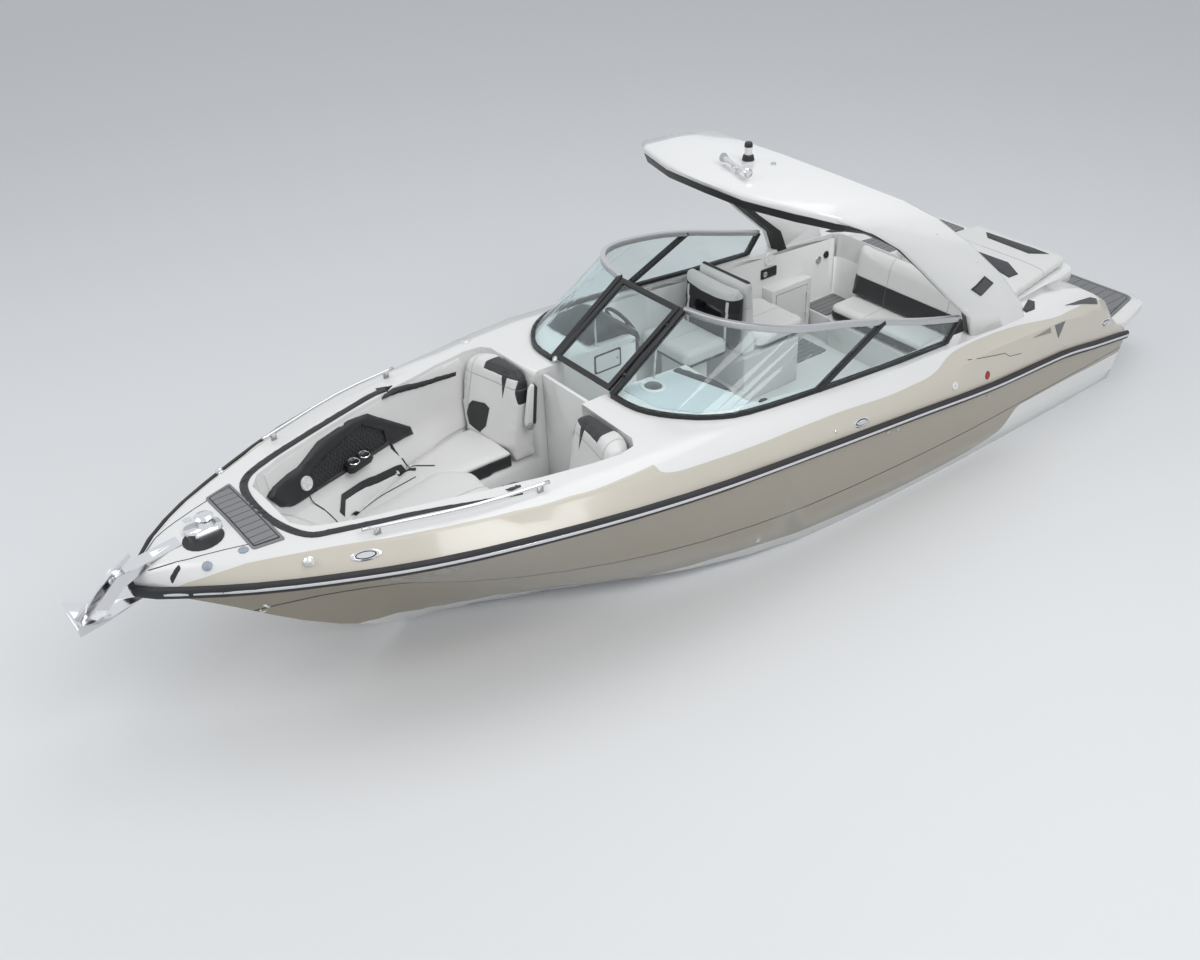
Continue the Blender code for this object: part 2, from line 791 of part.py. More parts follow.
def spread(y):
    """A drawn half-breadth of the windscreen, moved out with the beam from the gate's post."""
    post = SCREEN[0][1]
    return post + (y - post) * (BEAM / 2 - post) / (DRAWN_BEAM / 2 - post)


def screen_curves(side):
    feet = [(row[0], spread(row[1])) for row in SCREEN]
    foot = [(x, y * side, deck_z(x, y) + RAIL_WIDTH / 2 - 0.003) for x, y in feet]
    head = [(row[2], spread(row[3]) * side, row[4]) for row in SCREEN]
    return smoothed(foot), smoothed(head)


def pane_skin(name, rings):
    """Skins a twisted pane with the same diagonals on both faces, so that they stay parallel."""
    points = [point for ring in rings for point in ring]
    faces = [(0, 1, 2, 3), tuple(range(len(points) - 4, len(points)))]
    for row in range(len(rings) - 1):
        here, there = 4 * row, 4 * row + 4
        for step in range(4):
            after = (step + 1) % 4
            corners = [here + step, here + after, there + after, there + step]
            if step == 3:
                corners = corners[1:] + corners[:1]
            faces.append((corners[0], corners[1], corners[2]))
            faces.append((corners[0], corners[2], corners[3]))
    return add(name, points, faces, "tinted_glass")


def glass_slab(name, foot, head, reach, thick):
    """A curved pane between two curves, drawn back from both by the reach."""
    rings = []
    for place, (low, high) in enumerate(zip(foot, head)):
        before = foot[max(0, place - 1)]
        after = foot[min(len(foot) - 1, place + 1)]
        rise = (high - low).normalized()
        out = (after - before).cross(rise).normalized() * thick / 2
        low_edge, high_edge = low + rise * reach, high - rise * reach
        rings.append([low_edge - out, low_edge + out, high_edge + out, high_edge - out])
    return pane_skin(name, rings)


def glass_ends(curve, along):
    """A curve whose ends are drawn in, so that the pane stops inside the posts."""
    start = curve[0] + (curve[1] - curve[0]).normalized() * along
    end = curve[-1] + (curve[-2] - curve[-1]).normalized() * along
    return [start] + curve[1:-1] + [end]


def make_screen(side, word):
    foot, head = screen_curves(side)
    bar = square_profile(RAIL_WIDTH, RAIL_WIDTH)
    frame = swept("windscreen_frame_" + word, foot, bar, "black_trim")
    tools = [swept("rail", head, bar, "black_trim")]
    post = square_profile(MULLION_WIDTH, RAIL_WIDTH)
    for place in (0, 15, len(foot) - 1):
        tools.append(swept("post", [foot[place], head[place]], post, "black_trim", up=(1, 0, 0)))
    joined(frame, *tools)
    reach = RAIL_WIDTH / 2 - GLASS_BITE
    pane_foot, pane_head = glass_ends(foot, reach), glass_ends(head, reach)
    loose = reach - GROOVE_GAP
    groove_foot, groove_head = glass_ends(foot, loose), glass_ends(head, loose)
    groove = glass_slab("groove", groove_foot, groove_head, loose, GLASS_THICK + 2 * GROOVE_GAP)
    cut(frame, groove)
    seat_on_deck(frame)
    glass_slab("windscreen_glass_" + word, pane_foot, pane_head, reach, GLASS_THICK)
    return frame


def gate_corners(grow=0.0):
    """The gate's corners in its leaning plane, foot first."""
    foot = Vector((SCREEN[0][0], 0, deck_z(SCREEN[0][0], SCREEN[0][1]) + GATE_BAR))
    head = Vector((SCREEN[0][2], 0, SCREEN[0][4]))
    rise = (head - foot).normalized()
    across = Vector((0, GATE_HALF - grow, 0))
    low, high = foot + rise * grow, head - rise * grow
    return [low - across, low + across, high + across, high - across], rise


def knuckle(start, axis, reach, out, depth, slot):
    """A hinge's barrel from start along its axis, with a leaf that bites into the face below it."""
    barrel = turned(
        "knuckle", [(BARREL_RADIUS, 0.0), (BARREL_RADIUS, KNUCKLE_LENGTH)], slot, start, axis, 10,
    )
    top = start - out * BARREL_RADIUS * 0.3 + reach * 0.02
    section = [top, top + reach, start + reach * 1.02 - out * depth, start + reach * 0.02 - out * depth]
    leaf = loft("leaf", [
        [point + axis * LEAF_INSET for point in section],
        [point + axis * (KNUCKLE_LENGTH - LEAF_INSET) for point in section],
    ], slot)
    return joined(barrel, leaf)


def hinge(fixed, swinging, start, axis, towards, out, fixed_depth, swing_depth, slot):
    """A pair of knuckles in line: the lower one on the fixed piece, the upper one on the piece that swings."""
    reach = towards * LEAF_REACH
    joined(fixed, knuckle(start, axis, -reach, out, fixed_depth, slot))
    upper = start + axis * (KNUCKLE_LENGTH + SEAT_GAP)
    joined(swinging, knuckle(upper, axis, reach, out, swing_depth, slot))


def make_gate(post):
    corners, rise = gate_corners()
    out = Vector((0, 1, 0)).cross(rise).normalized() * -1
    thick = out * GATE_THICK / 2
    frame = loft("gate_frame", [[c - thick for c in corners], [c + thick for c in corners]], "black_trim")
    hole = gate_corners(GATE_BAR)[0]
    through = out * GATE_THICK
    cut(frame, loft("hole", [[c - through for c in hole], [c + through for c in hole]], "black_trim"))
    for name, bite, half in (
        ("groove", GATE_BAR - GLASS_BITE - SEAT_GAP, GLASS_THICK / 2 + SEAT_GAP),
        ("gate_glass", GATE_BAR - GLASS_BITE, GLASS_THICK / 2),
    ):
        pane = gate_corners(bite)[0]
        slab = loft(name, [[c - out.normalized() * half for c in pane], [c + out.normalized() * half for c in pane]], "tinted_glass")
        if name == "groove":
            cut(frame, slab)
    axis, out = rise.normalized(), -out
    lift = RAIL_WIDTH / 2 + BARREL_LIFT
    foot = Vector((corners[0][0], GATE_HALF + GATE_GAP / 2, corners[0][2])) + out * lift
    for share in GATE_HINGES:
        hinge(
            post, frame, foot + rise * share, axis, Vector((0, -1, 0)), out,
            lift, lift - GATE_THICK / 2 + LEAF_BITE, "black_trim",
        )


def make_door():
    """The walk-through door between the consoles, hinged on its port edge."""
    side = WALK_HALF - RUN_GAP
    outline = [
        (DOOR_X - DOOR_THICK / 2, -side),
        (DOOR_X + DOOR_THICK / 2, -side),
        (DOOR_X + DOOR_THICK / 2, side - HINGE_INSET),
        (DOOR_X - DOOR_THICK / 2, side - HINGE_INSET),
    ]
    door = prism("walkway_door", outline, FOOTWELL_Z + DOOR_FLOOR_GAP, DOOR_TOP_Z, "white_gelcoat")
    rise = DOOR_FLOOR_GAP - SEAT_GAP
    pivot = turned(
        "pivot", [(PIVOT_RADIUS, -rise), (PIVOT_RADIUS, rise)], "stainless",
        (DOOR_X, side - HINGE_INSET, FOOTWELL_Z + DOOR_FLOOR_GAP), (0, 0, 1), 12,
    )
    return joined(door, pivot)


def make_hatch():
    low = HATCH_SEAT_Z + SEAT_GAP
    high = HATCH_SEAT_Z + HATCH_DEPTH
    shape = hatch_outline(0.0)
    hatch = padded("engine_hatch", shape, low, high, "white_gelcoat", 0.03)
    inner = prism("inner", inset(shape, HATCH_SHELL + 0.03), low - 0.1, high - HATCH_SHELL, "white_gelcoat")
    cut(hatch, inner)
    pad = inset(shape, PAD_INSET + 0.015)
    padded("sunpad", pad, high + SEAT_GAP, high + SUNPAD_DEPTH, "white_vinyl", 0.03)


def make_engine():
    low = BAY_FLOOR_Z + SEAT_GAP
    middle = (BAY_FORE_X + BAY_AFT_X) / 2
    profile = [(0.30, low), (0.30, low + 0.40), (0.20, low + 0.72), (0.0, low + 0.76)]
    shape = [(-y, z) for y, z in profile[:-1]] + [(y, z) for y, z in reversed(profile[:-1])]
    rings = [[(middle + end, y, z) for y, z in shape] for end in (-0.45, 0.45)]
    return loft("engine", rings, "black_paint")


def make_dash():
    """The helm's pod, hung on the starboard console."""
    face = COCKPIT_FORE_X - SEAT_GAP
    z = deck_z(0.9, 0.7)
    profile = [
        (0.92, z - 0.01), (0.78, z + 0.07), (0.52, z + 0.10), (face - 0.10, z - 0.04),
        (face - 0.13, z - 0.30), (face, z - 0.34), (face, z - 0.012),
    ]
    pod = prism("dash", profile, -0.90, -0.36, "charcoal_vinyl", "Y")
    return seat_on_deck(pod)


def wheel_axis():
    """The column's direction, forwards and down."""
    rake = math.radians(WHEEL_RAKE)
    return Vector((math.cos(rake), 0.0, -math.sin(rake)))


def make_wheel():
    axis = wheel_axis()
    centre = Vector(WHEEL_CENTRE)
    side = Vector((0, 1, 0))
    up = axis.cross(side) * -1
    rim = []
    for step in range(24):
        angle = 2 * math.pi * step / 24
        rim.append(centre + (side * math.cos(angle) + up * math.sin(angle)) * WHEEL_RADIUS)
    wheel = swept("steering_wheel", rim, round_profile(WHEEL_RIM, 6), "black_trim", closed=True, up=axis)
    hub = turned("hub", [(0.045, -0.02), (0.055, 0.0), (0.045, 0.03)], "black_trim", centre + axis * 0.03, axis, 12)
    spokes = []
    for turn in (0, 125, 235):
        angle = math.radians(90 + turn)
        end = centre + (side * math.cos(angle) + up * math.sin(angle)) * WHEEL_RADIUS
        spokes.append(swept("spoke", [centre + axis * 0.03, end], square_profile(0.03, 0.012), "stainless", up=axis))
    joined(wheel, hub, *spokes)
    reach = (COCKPIT_FORE_X - 0.13 - WHEEL_CENTRE[0]) / axis.x
    stub = turned(
        "column",
        [(COLUMN_RADIUS, 0.06 + SEAT_GAP), (COLUMN_RADIUS, reach + 0.06)],
        "black_trim", centre, axis, 12,
    )
    joined(bpy.data.objects["dash"], stub)


def shifted_copy(source, shift):
    copy = bpy.data.objects.new("copy", source.data)
    bpy.context.scene.collection.objects.link(copy)
    copy.location = shift
    bpy.context.view_layer.update()
    return copy


def make_helm_seat():
    """Seat on a pedestal, its shell back, and the cabinet with the aft-facing seat behind."""
    fore, aft = HELM_SEAT_X, HELM_SEAT_X - HELM_SEAT_LENGTH
    near, far = HELM_SEAT_IN_Y, HELM_SEAT_OUT_Y
    middle_x, middle_y = (fore + aft) / 2, (near + far) / 2
    base = block(
        "helm_base",
        (middle_x - 0.13, middle_y - 0.16, SOLE_Z + SEAT_GAP),
        (middle_x + 0.13, middle_y + 0.16, HELM_SEAT_Z),
        "white_gelcoat",
    )
    seat = rounded([(aft, far), (fore, far), (fore, near), (aft, near)], 0.06, 3)
    padded("helm_seat", seat, HELM_SEAT_Z + SEAT_GAP, HELM_SEAT_Z + CUSHION_DEPTH, "white_vinyl")
    face = aft - SEAT_GAP
    back = upright_pad(
        "helm_back",
        [(face, HELM_SEAT_Z + 0.02), (face, 1.02), (face - 0.03, 1.36), (face - 0.10, 1.38),
         (face - 0.16, 1.30), (face - 0.15, 0.90), (face - 0.10, HELM_SEAT_Z + 0.02)],
        near, far, "charcoal_vinyl",
    )
    slot = block("slot", (face - 0.3, far + 0.16, 1.06), (face + 0.1, near - 0.16, 1.14), "black_trim")
    cut(back, slot)
    cabinet_fore = face - 0.165
    cabinet = block(
        "cabinet",
        (CABINET_AFT_X, far, SOLE_Z + SEAT_GAP),
        (cabinet_fore, near, CABINET_TOP_Z),
        "white_gelcoat",
    )
    plinth = block(
        "plinth",
        (cabinet_fore - 0.1, far, SOLE_Z + SEAT_GAP),
        (middle_x + 0.20, near, SOLE_Z + 0.12),
        "white_gelcoat",
    )
    joined(base, cabinet, plinth)
    seat_z = CABINET_TOP_Z + SEAT_GAP
    rest_fore = cabinet_fore - 0.005
    rest = upright_pad(
        "aft_facing_back",
        [(rest_fore, seat_z), (rest_fore, 1.38), (rest_fore - 0.06, 1.43), (rest_fore - 0.10, 1.38),
         (rest_fore - 0.16, seat_z)],
        near, far, "white_vinyl",
    )
    seat_fore = rest_fore - 0.16 - SEAT_GAP
    shape = rounded([(CABINET_AFT_X - 0.12, far), (seat_fore, far), (seat_fore, near), (CABINET_AFT_X - 0.12, near)], 0.10, 3)
    padded("aft_facing_seat", shape, seat_z, seat_z + CUSHION_DEPTH, "white_vinyl")
    return rest


def make_bench():
    """Bench across the stern, the step beside it and the lounge along the port side."""
    wall = COCKPIT_AFT_X + SEAT_GAP + 0.002
    side = COCKPIT_HALF - SEAT_GAP - 0.002
    floor = SOLE_Z + SEAT_GAP
    inner = -0.74
    front = wall + BENCH_DEPTH
    corner = COCKPIT_CORNER
    base = rounded([(wall, inner), (front, inner), (front, side), (wall, side)], corner, 3)
    moulding = prism("bench_base", base, floor, BENCH_SEAT_Z, "white_gelcoat")
    seat_top = BENCH_SEAT_Z + CUSHION_DEPTH
    padded("bench_seat", inset(base, 0.004), BENCH_SEAT_Z + SEAT_GAP, seat_top, "white_vinyl")
    back = [(wall, seat_top + SEAT_GAP), (wall, 1.15), (wall + 0.06, 1.18), (wall + 0.11, 1.13), (wall + BACK_THICK + 0.04, seat_top + SEAT_GAP)]
    upright_pad("bench_back", back, inner, side - corner, "white_vinyl")
    step_fore = wall + STEP_LENGTH
    step = rounded([(wall, -side), (step_fore, -side), (step_fore, inner + 0.1), (wall, inner + 0.1)], corner, 3)
    tread = prism("step", step, floor, STEP_Z, "white_gelcoat")
    lounge_fore = -0.70
    edge = side - LOUNGE_WIDTH
    lounge = [(front + 0.004, edge), (lounge_fore, edge), (lounge_fore, side), (front + 0.004, side)]
    under = [(x - 0.15 if x < -1.0 else x, y) for x, y in lounge]
    joined(moulding, tread, prism("lounge", under, floor, BENCH_SEAT_Z, "white_gelcoat"))
    padded("lounge_seat", inset(rounded(lounge, 0.03, 2), 0.004), BENCH_SEAT_Z + SEAT_GAP, seat_top, "white_vinyl")
    rail = [(side, seat_top + SEAT_GAP), (side, 1.06), (side - 0.06, 1.08), (side - BACK_THICK, seat_top + SEAT_GAP)]
    rings = [[(x, y, z) for y, z in shape] for shape, x in (
        (inset(rail, 0.02), front + 0.01), (rail, front + 0.04), (rail, lounge_fore - 0.03), (inset(rail, 0.02), lounge_fore),
    )]
    loft("lounge_back", rings, "white_vinyl")


def make_locker():
    """A frame on the starboard side with a hollow and a door hinged at its aft edge."""
    fore = LOCKER_FORE_X
    aft = fore - LOCKER_LENGTH
    outer = -COCKPIT_HALF + SEAT_GAP
    face = outer + LOCKER_DEPTH
    low, high = SOLE_Z + SEAT_GAP, LOCKER_TOP_Z
    box = block("locker", (aft, outer, low), (fore, face, high), "white_gelcoat")
    rim = LOCKER_FRAME
    cut(box, block("hollow", (aft + rim, outer + 0.02, low + 0.16), (fore - rim, face + 0.1, high - rim), "white_gelcoat"))
    gap = RUN_GAP
    door = block(
        "locker_door",
        (aft + rim + gap, face - LOCKER_DOOR_THICK, low + 0.16 + gap),
        (fore - rim - gap, face, high - rim - gap),
        "white_gelcoat",
    )
    for rise in (0.06, 0.27):
        start = Vector((aft + rim + gap / 2, face + BARREL_LIFT, low + 0.16 + rise))
        depth = BARREL_LIFT + LEAF_BITE
        hinge(box, door, start, Vector((0, 0, 1)), Vector((1, 0, 0)), Vector((0, 1, 0)), depth, depth, "black_trim")


def make_bow_seats():
    """Facing lounges round the footwell, with a backrest on each console."""
    gap = RUN_GAP
    back_fore = 0.22
    aft = BOW_WELL[0][0] + 0.004
    for side, word in ((1, "port"), (-1, "starboard")):
        low = LOUNGE_Z + SEAT_GAP
        shape = [
            (aft + back_fore + 0.004, WALK_HALF + gap), (aft + back_fore + 0.004, 0.815 * WIDEN), (1.90, 0.765 * WIDEN),
            (2.30, 0.605 * WIDEN), (2.70, 0.385 * WIDEN), (2.98, 0.225 * WIDEN), (2.98, 0.006), (2.44, 0.006),
            (2.40, 0.10), (2.34, WALK_HALF + gap - 0.03),
        ]
        padded("bow_seat_" + word, [(x, y * side) for x, y in shape], low, low + CUSHION_DEPTH, "white_vinyl")
        profile = [(aft, low), (aft, 1.30), (aft + 0.04, 1.335), (aft + 0.10, 1.30), (aft + back_fore, low)]
        upright_pad("bow_back_" + word, profile, (WALK_HALF + gap) * side, 0.735 * WIDEN * side, "white_vinyl")


def make_windlass():
    x = 4.07
    base = prism("windlass", rounded([(x - 0.12, -0.07), (x + 0.10, -0.07), (x + 0.10, 0.07), (x - 0.12, 0.07)], 0.05), deck_z(x, 0) - 0.02, deck_z(x, 0) + 0.03, "stainless")
    drum = turned("drum", [(0.055, 0.0), (0.06, 0.02), (0.035, 0.035), (0.035, 0.05), (0.06, 0.07), (0.045, 0.085)], "stainless", (x - 0.03, 0.0, deck_z(x, 0) + 0.02), (0, 0, 1), 16)
    return seat_on_deck(joined(base, drum))


def make_roller():
    """The bow chute that carries the anchor: two side plates on a channel floor."""
    start = 4.22
    floor = [
        (start, deck_z(start, 0) + 0.004), (4.46, deck_z(4.46, 0) + 0.03), (4.62, 1.33), (4.80, 1.17),
        (4.84, 1.13), (4.80, 1.11), (4.74, 1.12), (4.60, 1.245), (4.44, deck_z(4.44, 0) - 0.01), (start, deck_z(start, 0) - 0.02),
    ]
    half = 0.055
    plate = prism("anchor_roller", floor, -half, half, "stainless", "Y")
    slot = [(4.30, 1.6), (4.46, 1.395), (4.61, 1.295), (4.70, 1.20), (4.95, 1.00), (4.95, 1.6)]
    cut(plate, prism("slot", slot, -half + 0.008, half - 0.008, "stainless", "Y"))
    seat_on_deck(plate)
    wheel = turned("wheel", [(ROLLER_RADIUS, 0.006 - half), (ROLLER_RADIUS, half - 0.006)], "stainless", ROLLER_CENTRE, (0, 1, 0), 16)
    return joined(plate, wheel)


def make_anchor():
    """A plough anchor: shank in the chute, fluke hanging below its lip."""
    shank = prism("anchor", [(4.50, 1.405), (4.60, 1.335), (4.705, 1.235), (4.858, 1.10), (4.868, 1.02), (4.90, 1.03), (4.895, 1.13), (4.73, 1.27), (4.62, 1.36), (4.51, 1.43)], -0.012, 0.012, "stainless", "Y")
    plough = loft("fluke", [
        [(x, 0.0, keel), (tip_x, wing, tip_z), (x, 0.0, keel + plate), (tip_x, -wing, tip_z)]
        for x, keel, plate, tip_x, wing, tip_z in FLUKE
    ], "stainless")
    return joined(shank, plough)


def make_grab_rail(side, word):
    """A tube on two feet along the bow coaming."""
    points = []
    for x, y in ((3.34, 0.685), (3.30, 0.70), (2.70, 0.905), (2.24, 0.985), (2.20, 0.99)):
        points.append((x, y * side, deck_z(x, y) + 0.055))
    rail = swept("grab_rail_" + word, smoothed(points), round_profile(0.012, 8), "stainless")
    feet = []
    for x, y in ((3.27, 0.712), (2.26, 0.982)):
        z = deck_z(x, y)
        feet.append(block("foot", (x - 0.02, y * side - 0.008, z - 0.01), (x + 0.02, y * side + 0.008, z + 0.055), "stainless"))
    return seat_on_deck(joined(rail, *feet))


def make_top_fittings():
    """All-round light and horn on the arch."""
    arch_seat = shifted_copy(bpy.data.objects["arch"], (0, 0, SEAT_GAP))
    x = -0.42
    z = 2.64
    light = turned("all_round_light", [(0.045, -0.02), (0.045, 0.02), (0.02, 0.03), (0.02, 0.09), (0.03, 0.10), (0.03, 0.14), (0.02, 0.15)], "white_gelcoat", (x, 0, z), (0, 0, 1), 12)
    cut(light, arch_seat)
    arch_seat = shifted_copy(bpy.data.objects["arch"], (0, 0, SEAT_GAP))
    horn = turned("horn", [(0.035, -0.19), (0.018, -0.12), (0.014, 0.0), (0.018, 0.12), (0.035, 0.19)], "stainless", (-0.20, 0.10, z + 0.055), (0.25, 1, 0), 12)
    foot = block("foot", (-0.225, 0.075, z - 0.02), (-0.175, 0.125, z + 0.05), "stainless")
    cut(joined(horn, foot), arch_seat)


def make_drive():
    """Transom housing, steering ring, drive leg and propeller, with trim tabs beside them."""
    face = TRANSOM_X - SEAT_GAP
    housing = loft("gimbal_housing", [
        [(face, -0.20, -0.36), (face, 0.20, -0.36), (face, 0.22, 0.20), (face, -0.22, 0.20)],
        [(face - 0.05, -0.18, -0.30), (face - 0.05, 0.18, -0.30), (face - 0.05, 0.19, 0.17), (face - 0.05, -0.19, 0.17)],
    ], "black_paint")
    ears = []
    for z in (0.10, -0.16):
        ears.append(block("ear", (STEER_X - 0.03, -0.035, z), (face - 0.03, 0.035, z + 0.04), "black_paint"))
    joined(housing, *ears)
    ring = block("gimbal_ring", (STEER_X - 0.04, -0.135, -0.1147), (STEER_X + 0.04, 0.135, 0.0947), "black_paint")
    inner = block("inner", (STEER_X - 0.2, -0.105, -0.085), (STEER_X + 0.2, 0.105, 0.065), "black_paint")
    cut(ring, inner)
    for low, high in ((0.07, 0.10 - SEAT_GAP), (-0.12 + SEAT_GAP, -0.09)):
        joined(ring, turned("pin", [(SWIVEL_RADIUS, low), (SWIVEL_RADIUS, high)], "black_paint", (STEER_X, 0, 0), (0, 0, 1), 10))
    leg = loft("drive_leg", [
        [(STEER_X - 0.20, -0.02, -0.84), (STEER_X - 0.36, -0.01, -0.86), (STEER_X - 0.36, 0.01, -0.86), (STEER_X - 0.20, 0.02, -0.84)],
        [(STEER_X - 0.14, -0.035, -0.62), (STEER_X - 0.50, -0.02, -0.62), (STEER_X - 0.50, 0.02, -0.62), (STEER_X - 0.14, 0.035, -0.62)],
        [(STEER_X - 0.08, -0.05, -0.38), (STEER_X - 0.48, -0.03, -0.38), (STEER_X - 0.48, 0.03, -0.38), (STEER_X - 0.08, 0.05, -0.38)],
        [(STEER_X - 0.065, -0.09, -0.20), (STEER_X - 0.36, -0.09, -0.20), (STEER_X - 0.36, 0.09, -0.20), (STEER_X - 0.065, 0.09, -0.20)],
        [(STEER_X - 0.065, -0.09, 0.0), (STEER_X - 0.34, -0.09, 0.0), (STEER_X - 0.34, 0.09, 0.0), (STEER_X - 0.065, 0.09, 0.0)],
        [(STEER_X - 0.20, -0.06, 0.07), (STEER_X - 0.30, -0.06, 0.07), (STEER_X - 0.30, 0.06, 0.07), (STEER_X - 0.20, 0.06, 0.07)],
    ], "black_paint")
    hub = turned("hub", [(0.01, 0.46), (0.045, 0.40), (TORPEDO_RADIUS, 0.28), (TORPEDO_RADIUS, 0.02), (0.06, 0.0)], "black_paint", (PROP_X + SEAT_GAP, 0, PROP_Z), (1, 0, 0), 16)
    plate = prism("plate", rounded([(STEER_X - 0.02, -0.09), (STEER_X - 0.02, 0.09), (PROP_X - 0.06, 0.15), (PROP_X - 0.06, -0.15)], 0.05, 3), -0.40, -0.385, "black_paint")
    trunnion = turned("trunnion", [(0.03, -0.1047), (0.03, 0.1047)], "black_paint", (STEER_X, 0, DRIVE_AXLE_Z), (0, 1, 0), 12)
    neck = block("neck", (STEER_X - 0.10, -0.06, -0.04), (STEER_X + 0.01, 0.06, 0.0), "black_paint")
    joined(leg, hub, plate, trunnion, neck)
    make_propeller()
    for side, word in ((1, "port"), (-1, "starboard")):
        outline = rounded([(face - 0.30, 0.52 * side), (face, 0.52 * side), (face, 0.96 * side), (face - 0.30, 0.92 * side)], 0.03, 2)
        outline = [(min(x, face), y) for x, y in outline]
        prism("trim_tab_" + word, outline, -0.19, -0.18, "stainless")


def make_propeller():
    """A hub with skewed, pitched blades."""
    centre = Vector((PROP_X, 0, PROP_Z))
    prop = turned("propeller", [(0.055, 0.0), (0.062, -0.03), (0.055, -0.13), (0.03, -0.16)], "stainless", centre, (1, 0, 0), 16)
    blades = []
    for blade in range(PROP_BLADES):
        turn = 2 * math.pi * blade / PROP_BLADES
        rings = []
        for radius, chord, pitch, skew in ((0.045, 0.09, 58, 0.0), (0.10, 0.13, 42, 0.04), (0.155, 0.12, 32, 0.16), (PROP_RADIUS, 0.05, 27, 0.34)):
            lean = math.radians(pitch)
            ring = []
            for across, lift in ((-0.5, 0.0), (0.0, 0.006), (0.5, 0.0), (0.0, -0.004)):
                along = across * chord * math.sin(lean) - lift * math.cos(lean)
                around = across * chord * math.cos(lean) + lift * math.sin(lean)
                angle = turn + skew + around / radius
                ring.append(centre + Vector((along - 0.065, radius * math.cos(angle), radius * math.sin(angle))))
            rings.append(ring)
        blades.append(loft("blade", rings, "stainless"))
    return joined(prop, *blades)


make_hull()
DECK = make_deck()
make_liner()
make_rub_rail()
make_platform()
make_arch()
PORT_FRAME = make_screen(1, "port")
make_screen(-1, "starboard")
make_gate(PORT_FRAME)
make_door()
make_hatch()
make_engine()
make_dash()
make_wheel()
make_helm_seat()
make_bench()
make_locker()
make_bow_seats()
make_windlass()
make_roller()
make_anchor()
make_grab_rail(1, "port")
make_grab_rail(-1, "starboard")
make_top_fittings()
make_drive()
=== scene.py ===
import math

import bmesh
import bpy
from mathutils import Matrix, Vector
from mathutils.bvhtree import BVHTree
from mathutils.geometry import tessellate_polygon


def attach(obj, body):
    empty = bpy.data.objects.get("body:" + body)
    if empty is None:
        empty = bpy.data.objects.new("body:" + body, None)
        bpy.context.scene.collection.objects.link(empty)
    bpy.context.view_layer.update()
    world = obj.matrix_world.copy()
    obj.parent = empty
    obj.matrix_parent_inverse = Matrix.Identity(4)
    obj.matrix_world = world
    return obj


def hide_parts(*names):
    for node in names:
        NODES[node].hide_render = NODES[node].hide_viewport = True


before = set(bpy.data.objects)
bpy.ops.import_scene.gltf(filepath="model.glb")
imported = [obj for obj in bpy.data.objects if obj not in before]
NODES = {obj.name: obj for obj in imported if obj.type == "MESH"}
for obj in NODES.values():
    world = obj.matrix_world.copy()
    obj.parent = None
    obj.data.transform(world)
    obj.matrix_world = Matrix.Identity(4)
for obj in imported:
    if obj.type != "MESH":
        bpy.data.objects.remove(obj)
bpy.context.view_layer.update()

SIDES = (("port", 1), ("starboard", -1))

# The materials made so far by name, and the slot that each stands for
MATERIALS = {}
SLOTS = {}

# Camera
CAMERA_PLACE = (5.6972, 6.3562, 5.6846)
CAMERA_YAW = -130.613
CAMERA_PITCH = 35.665
CAMERA_LENS = 36.0
CAMERA_SHIFT = (-0.0667, 0.0333)

# Light: the sky's strength unseen and seen, the lamps by name, place, diameter and power, and their aim
SKY_UNSEEN = 0.50
SKY_SEEN = 0.95
LAMPS = (
    ("key", (1.0, 9.0, 11.0), 7.0, 620.0),
    ("fill", (10.0, -3.0, 8.0), 8.0, 260.0),
    ("top", (-2.0, 0.0, 12.0), 9.0, 260.0),
)
LAMP_AIM = (0.0, 0.0, 0.6)

# Floor: its reach each way and in under the hull, and where the waterline is read
FLOOR_REACH = 60.0
FLOOR_UNDER = 0.015
WATER_AFT = -4.5
WATER_STEP = 0.05
WATER_STEPS = 181

# Rub rail: x, half-breadth and height
RAIL_LINE = (
    (-4.150, 1.330, 0.510), (-3.542, 1.358, 0.611), (-3.000, 1.371, 0.698), (-2.000, 1.390, 0.765),
    (-1.000, 1.400, 0.880), (0.000, 1.400, 0.985), (1.000, 1.390, 1.090), (1.750, 1.334, 1.165),
    (2.500, 1.200, 1.218), (3.100, 1.009, 1.231), (3.600, 0.770, 1.232), (4.000, 0.540, 1.232),
    (4.300, 0.309, 1.220), (4.450, 0.150, 1.195), (4.530, 0.021, 1.175),
)

# Windscreen: its upper edge on port, and a strut inside it
SCREEN_HEAD = (
    (0.523, 0.372, 1.871), (0.460, 0.640, 1.866), (0.300, 0.867, 1.849), (0.020, 1.020, 1.800),
    (-0.400, 1.090, 1.730), (-0.800, 1.130, 1.637), (-1.200, 1.160, 1.521), (-1.700, 1.165, 1.390),
)
STRUT = ((0.800, 0.345, 1.385), (0.793, 0.357, 1.540), (0.786, 0.370, 1.695))

# Colours, linear
TAUPE = (0.350, 0.312, 0.245)
BEIGE = (0.600, 0.560, 0.480)
WHITE = (0.800, 0.800, 0.790)
VINYL_WHITE = (0.760, 0.760, 0.745)
CHARCOAL = (0.017, 0.017, 0.020)
GREY_PAD = (0.230, 0.235, 0.240)
BLACK = (0.010, 0.010, 0.011)
GLASS_TINT = (0.860, 0.935, 0.935)
STEEL = (0.720, 0.720, 0.730)
ALUMINIUM = (0.560, 0.565, 0.570)
CAULK = (0.035, 0.035, 0.038)
PLANK_DARK = (0.16, 0.165, 0.17)
PLANK_PALE = (0.30, 0.30, 0.30)
FLOOR = (0.78, 0.79, 0.80)
SKY = (0.93, 0.96, 1.0)
PIN_STRIPE_COLOUR = (0.05, 0.05, 0.05)

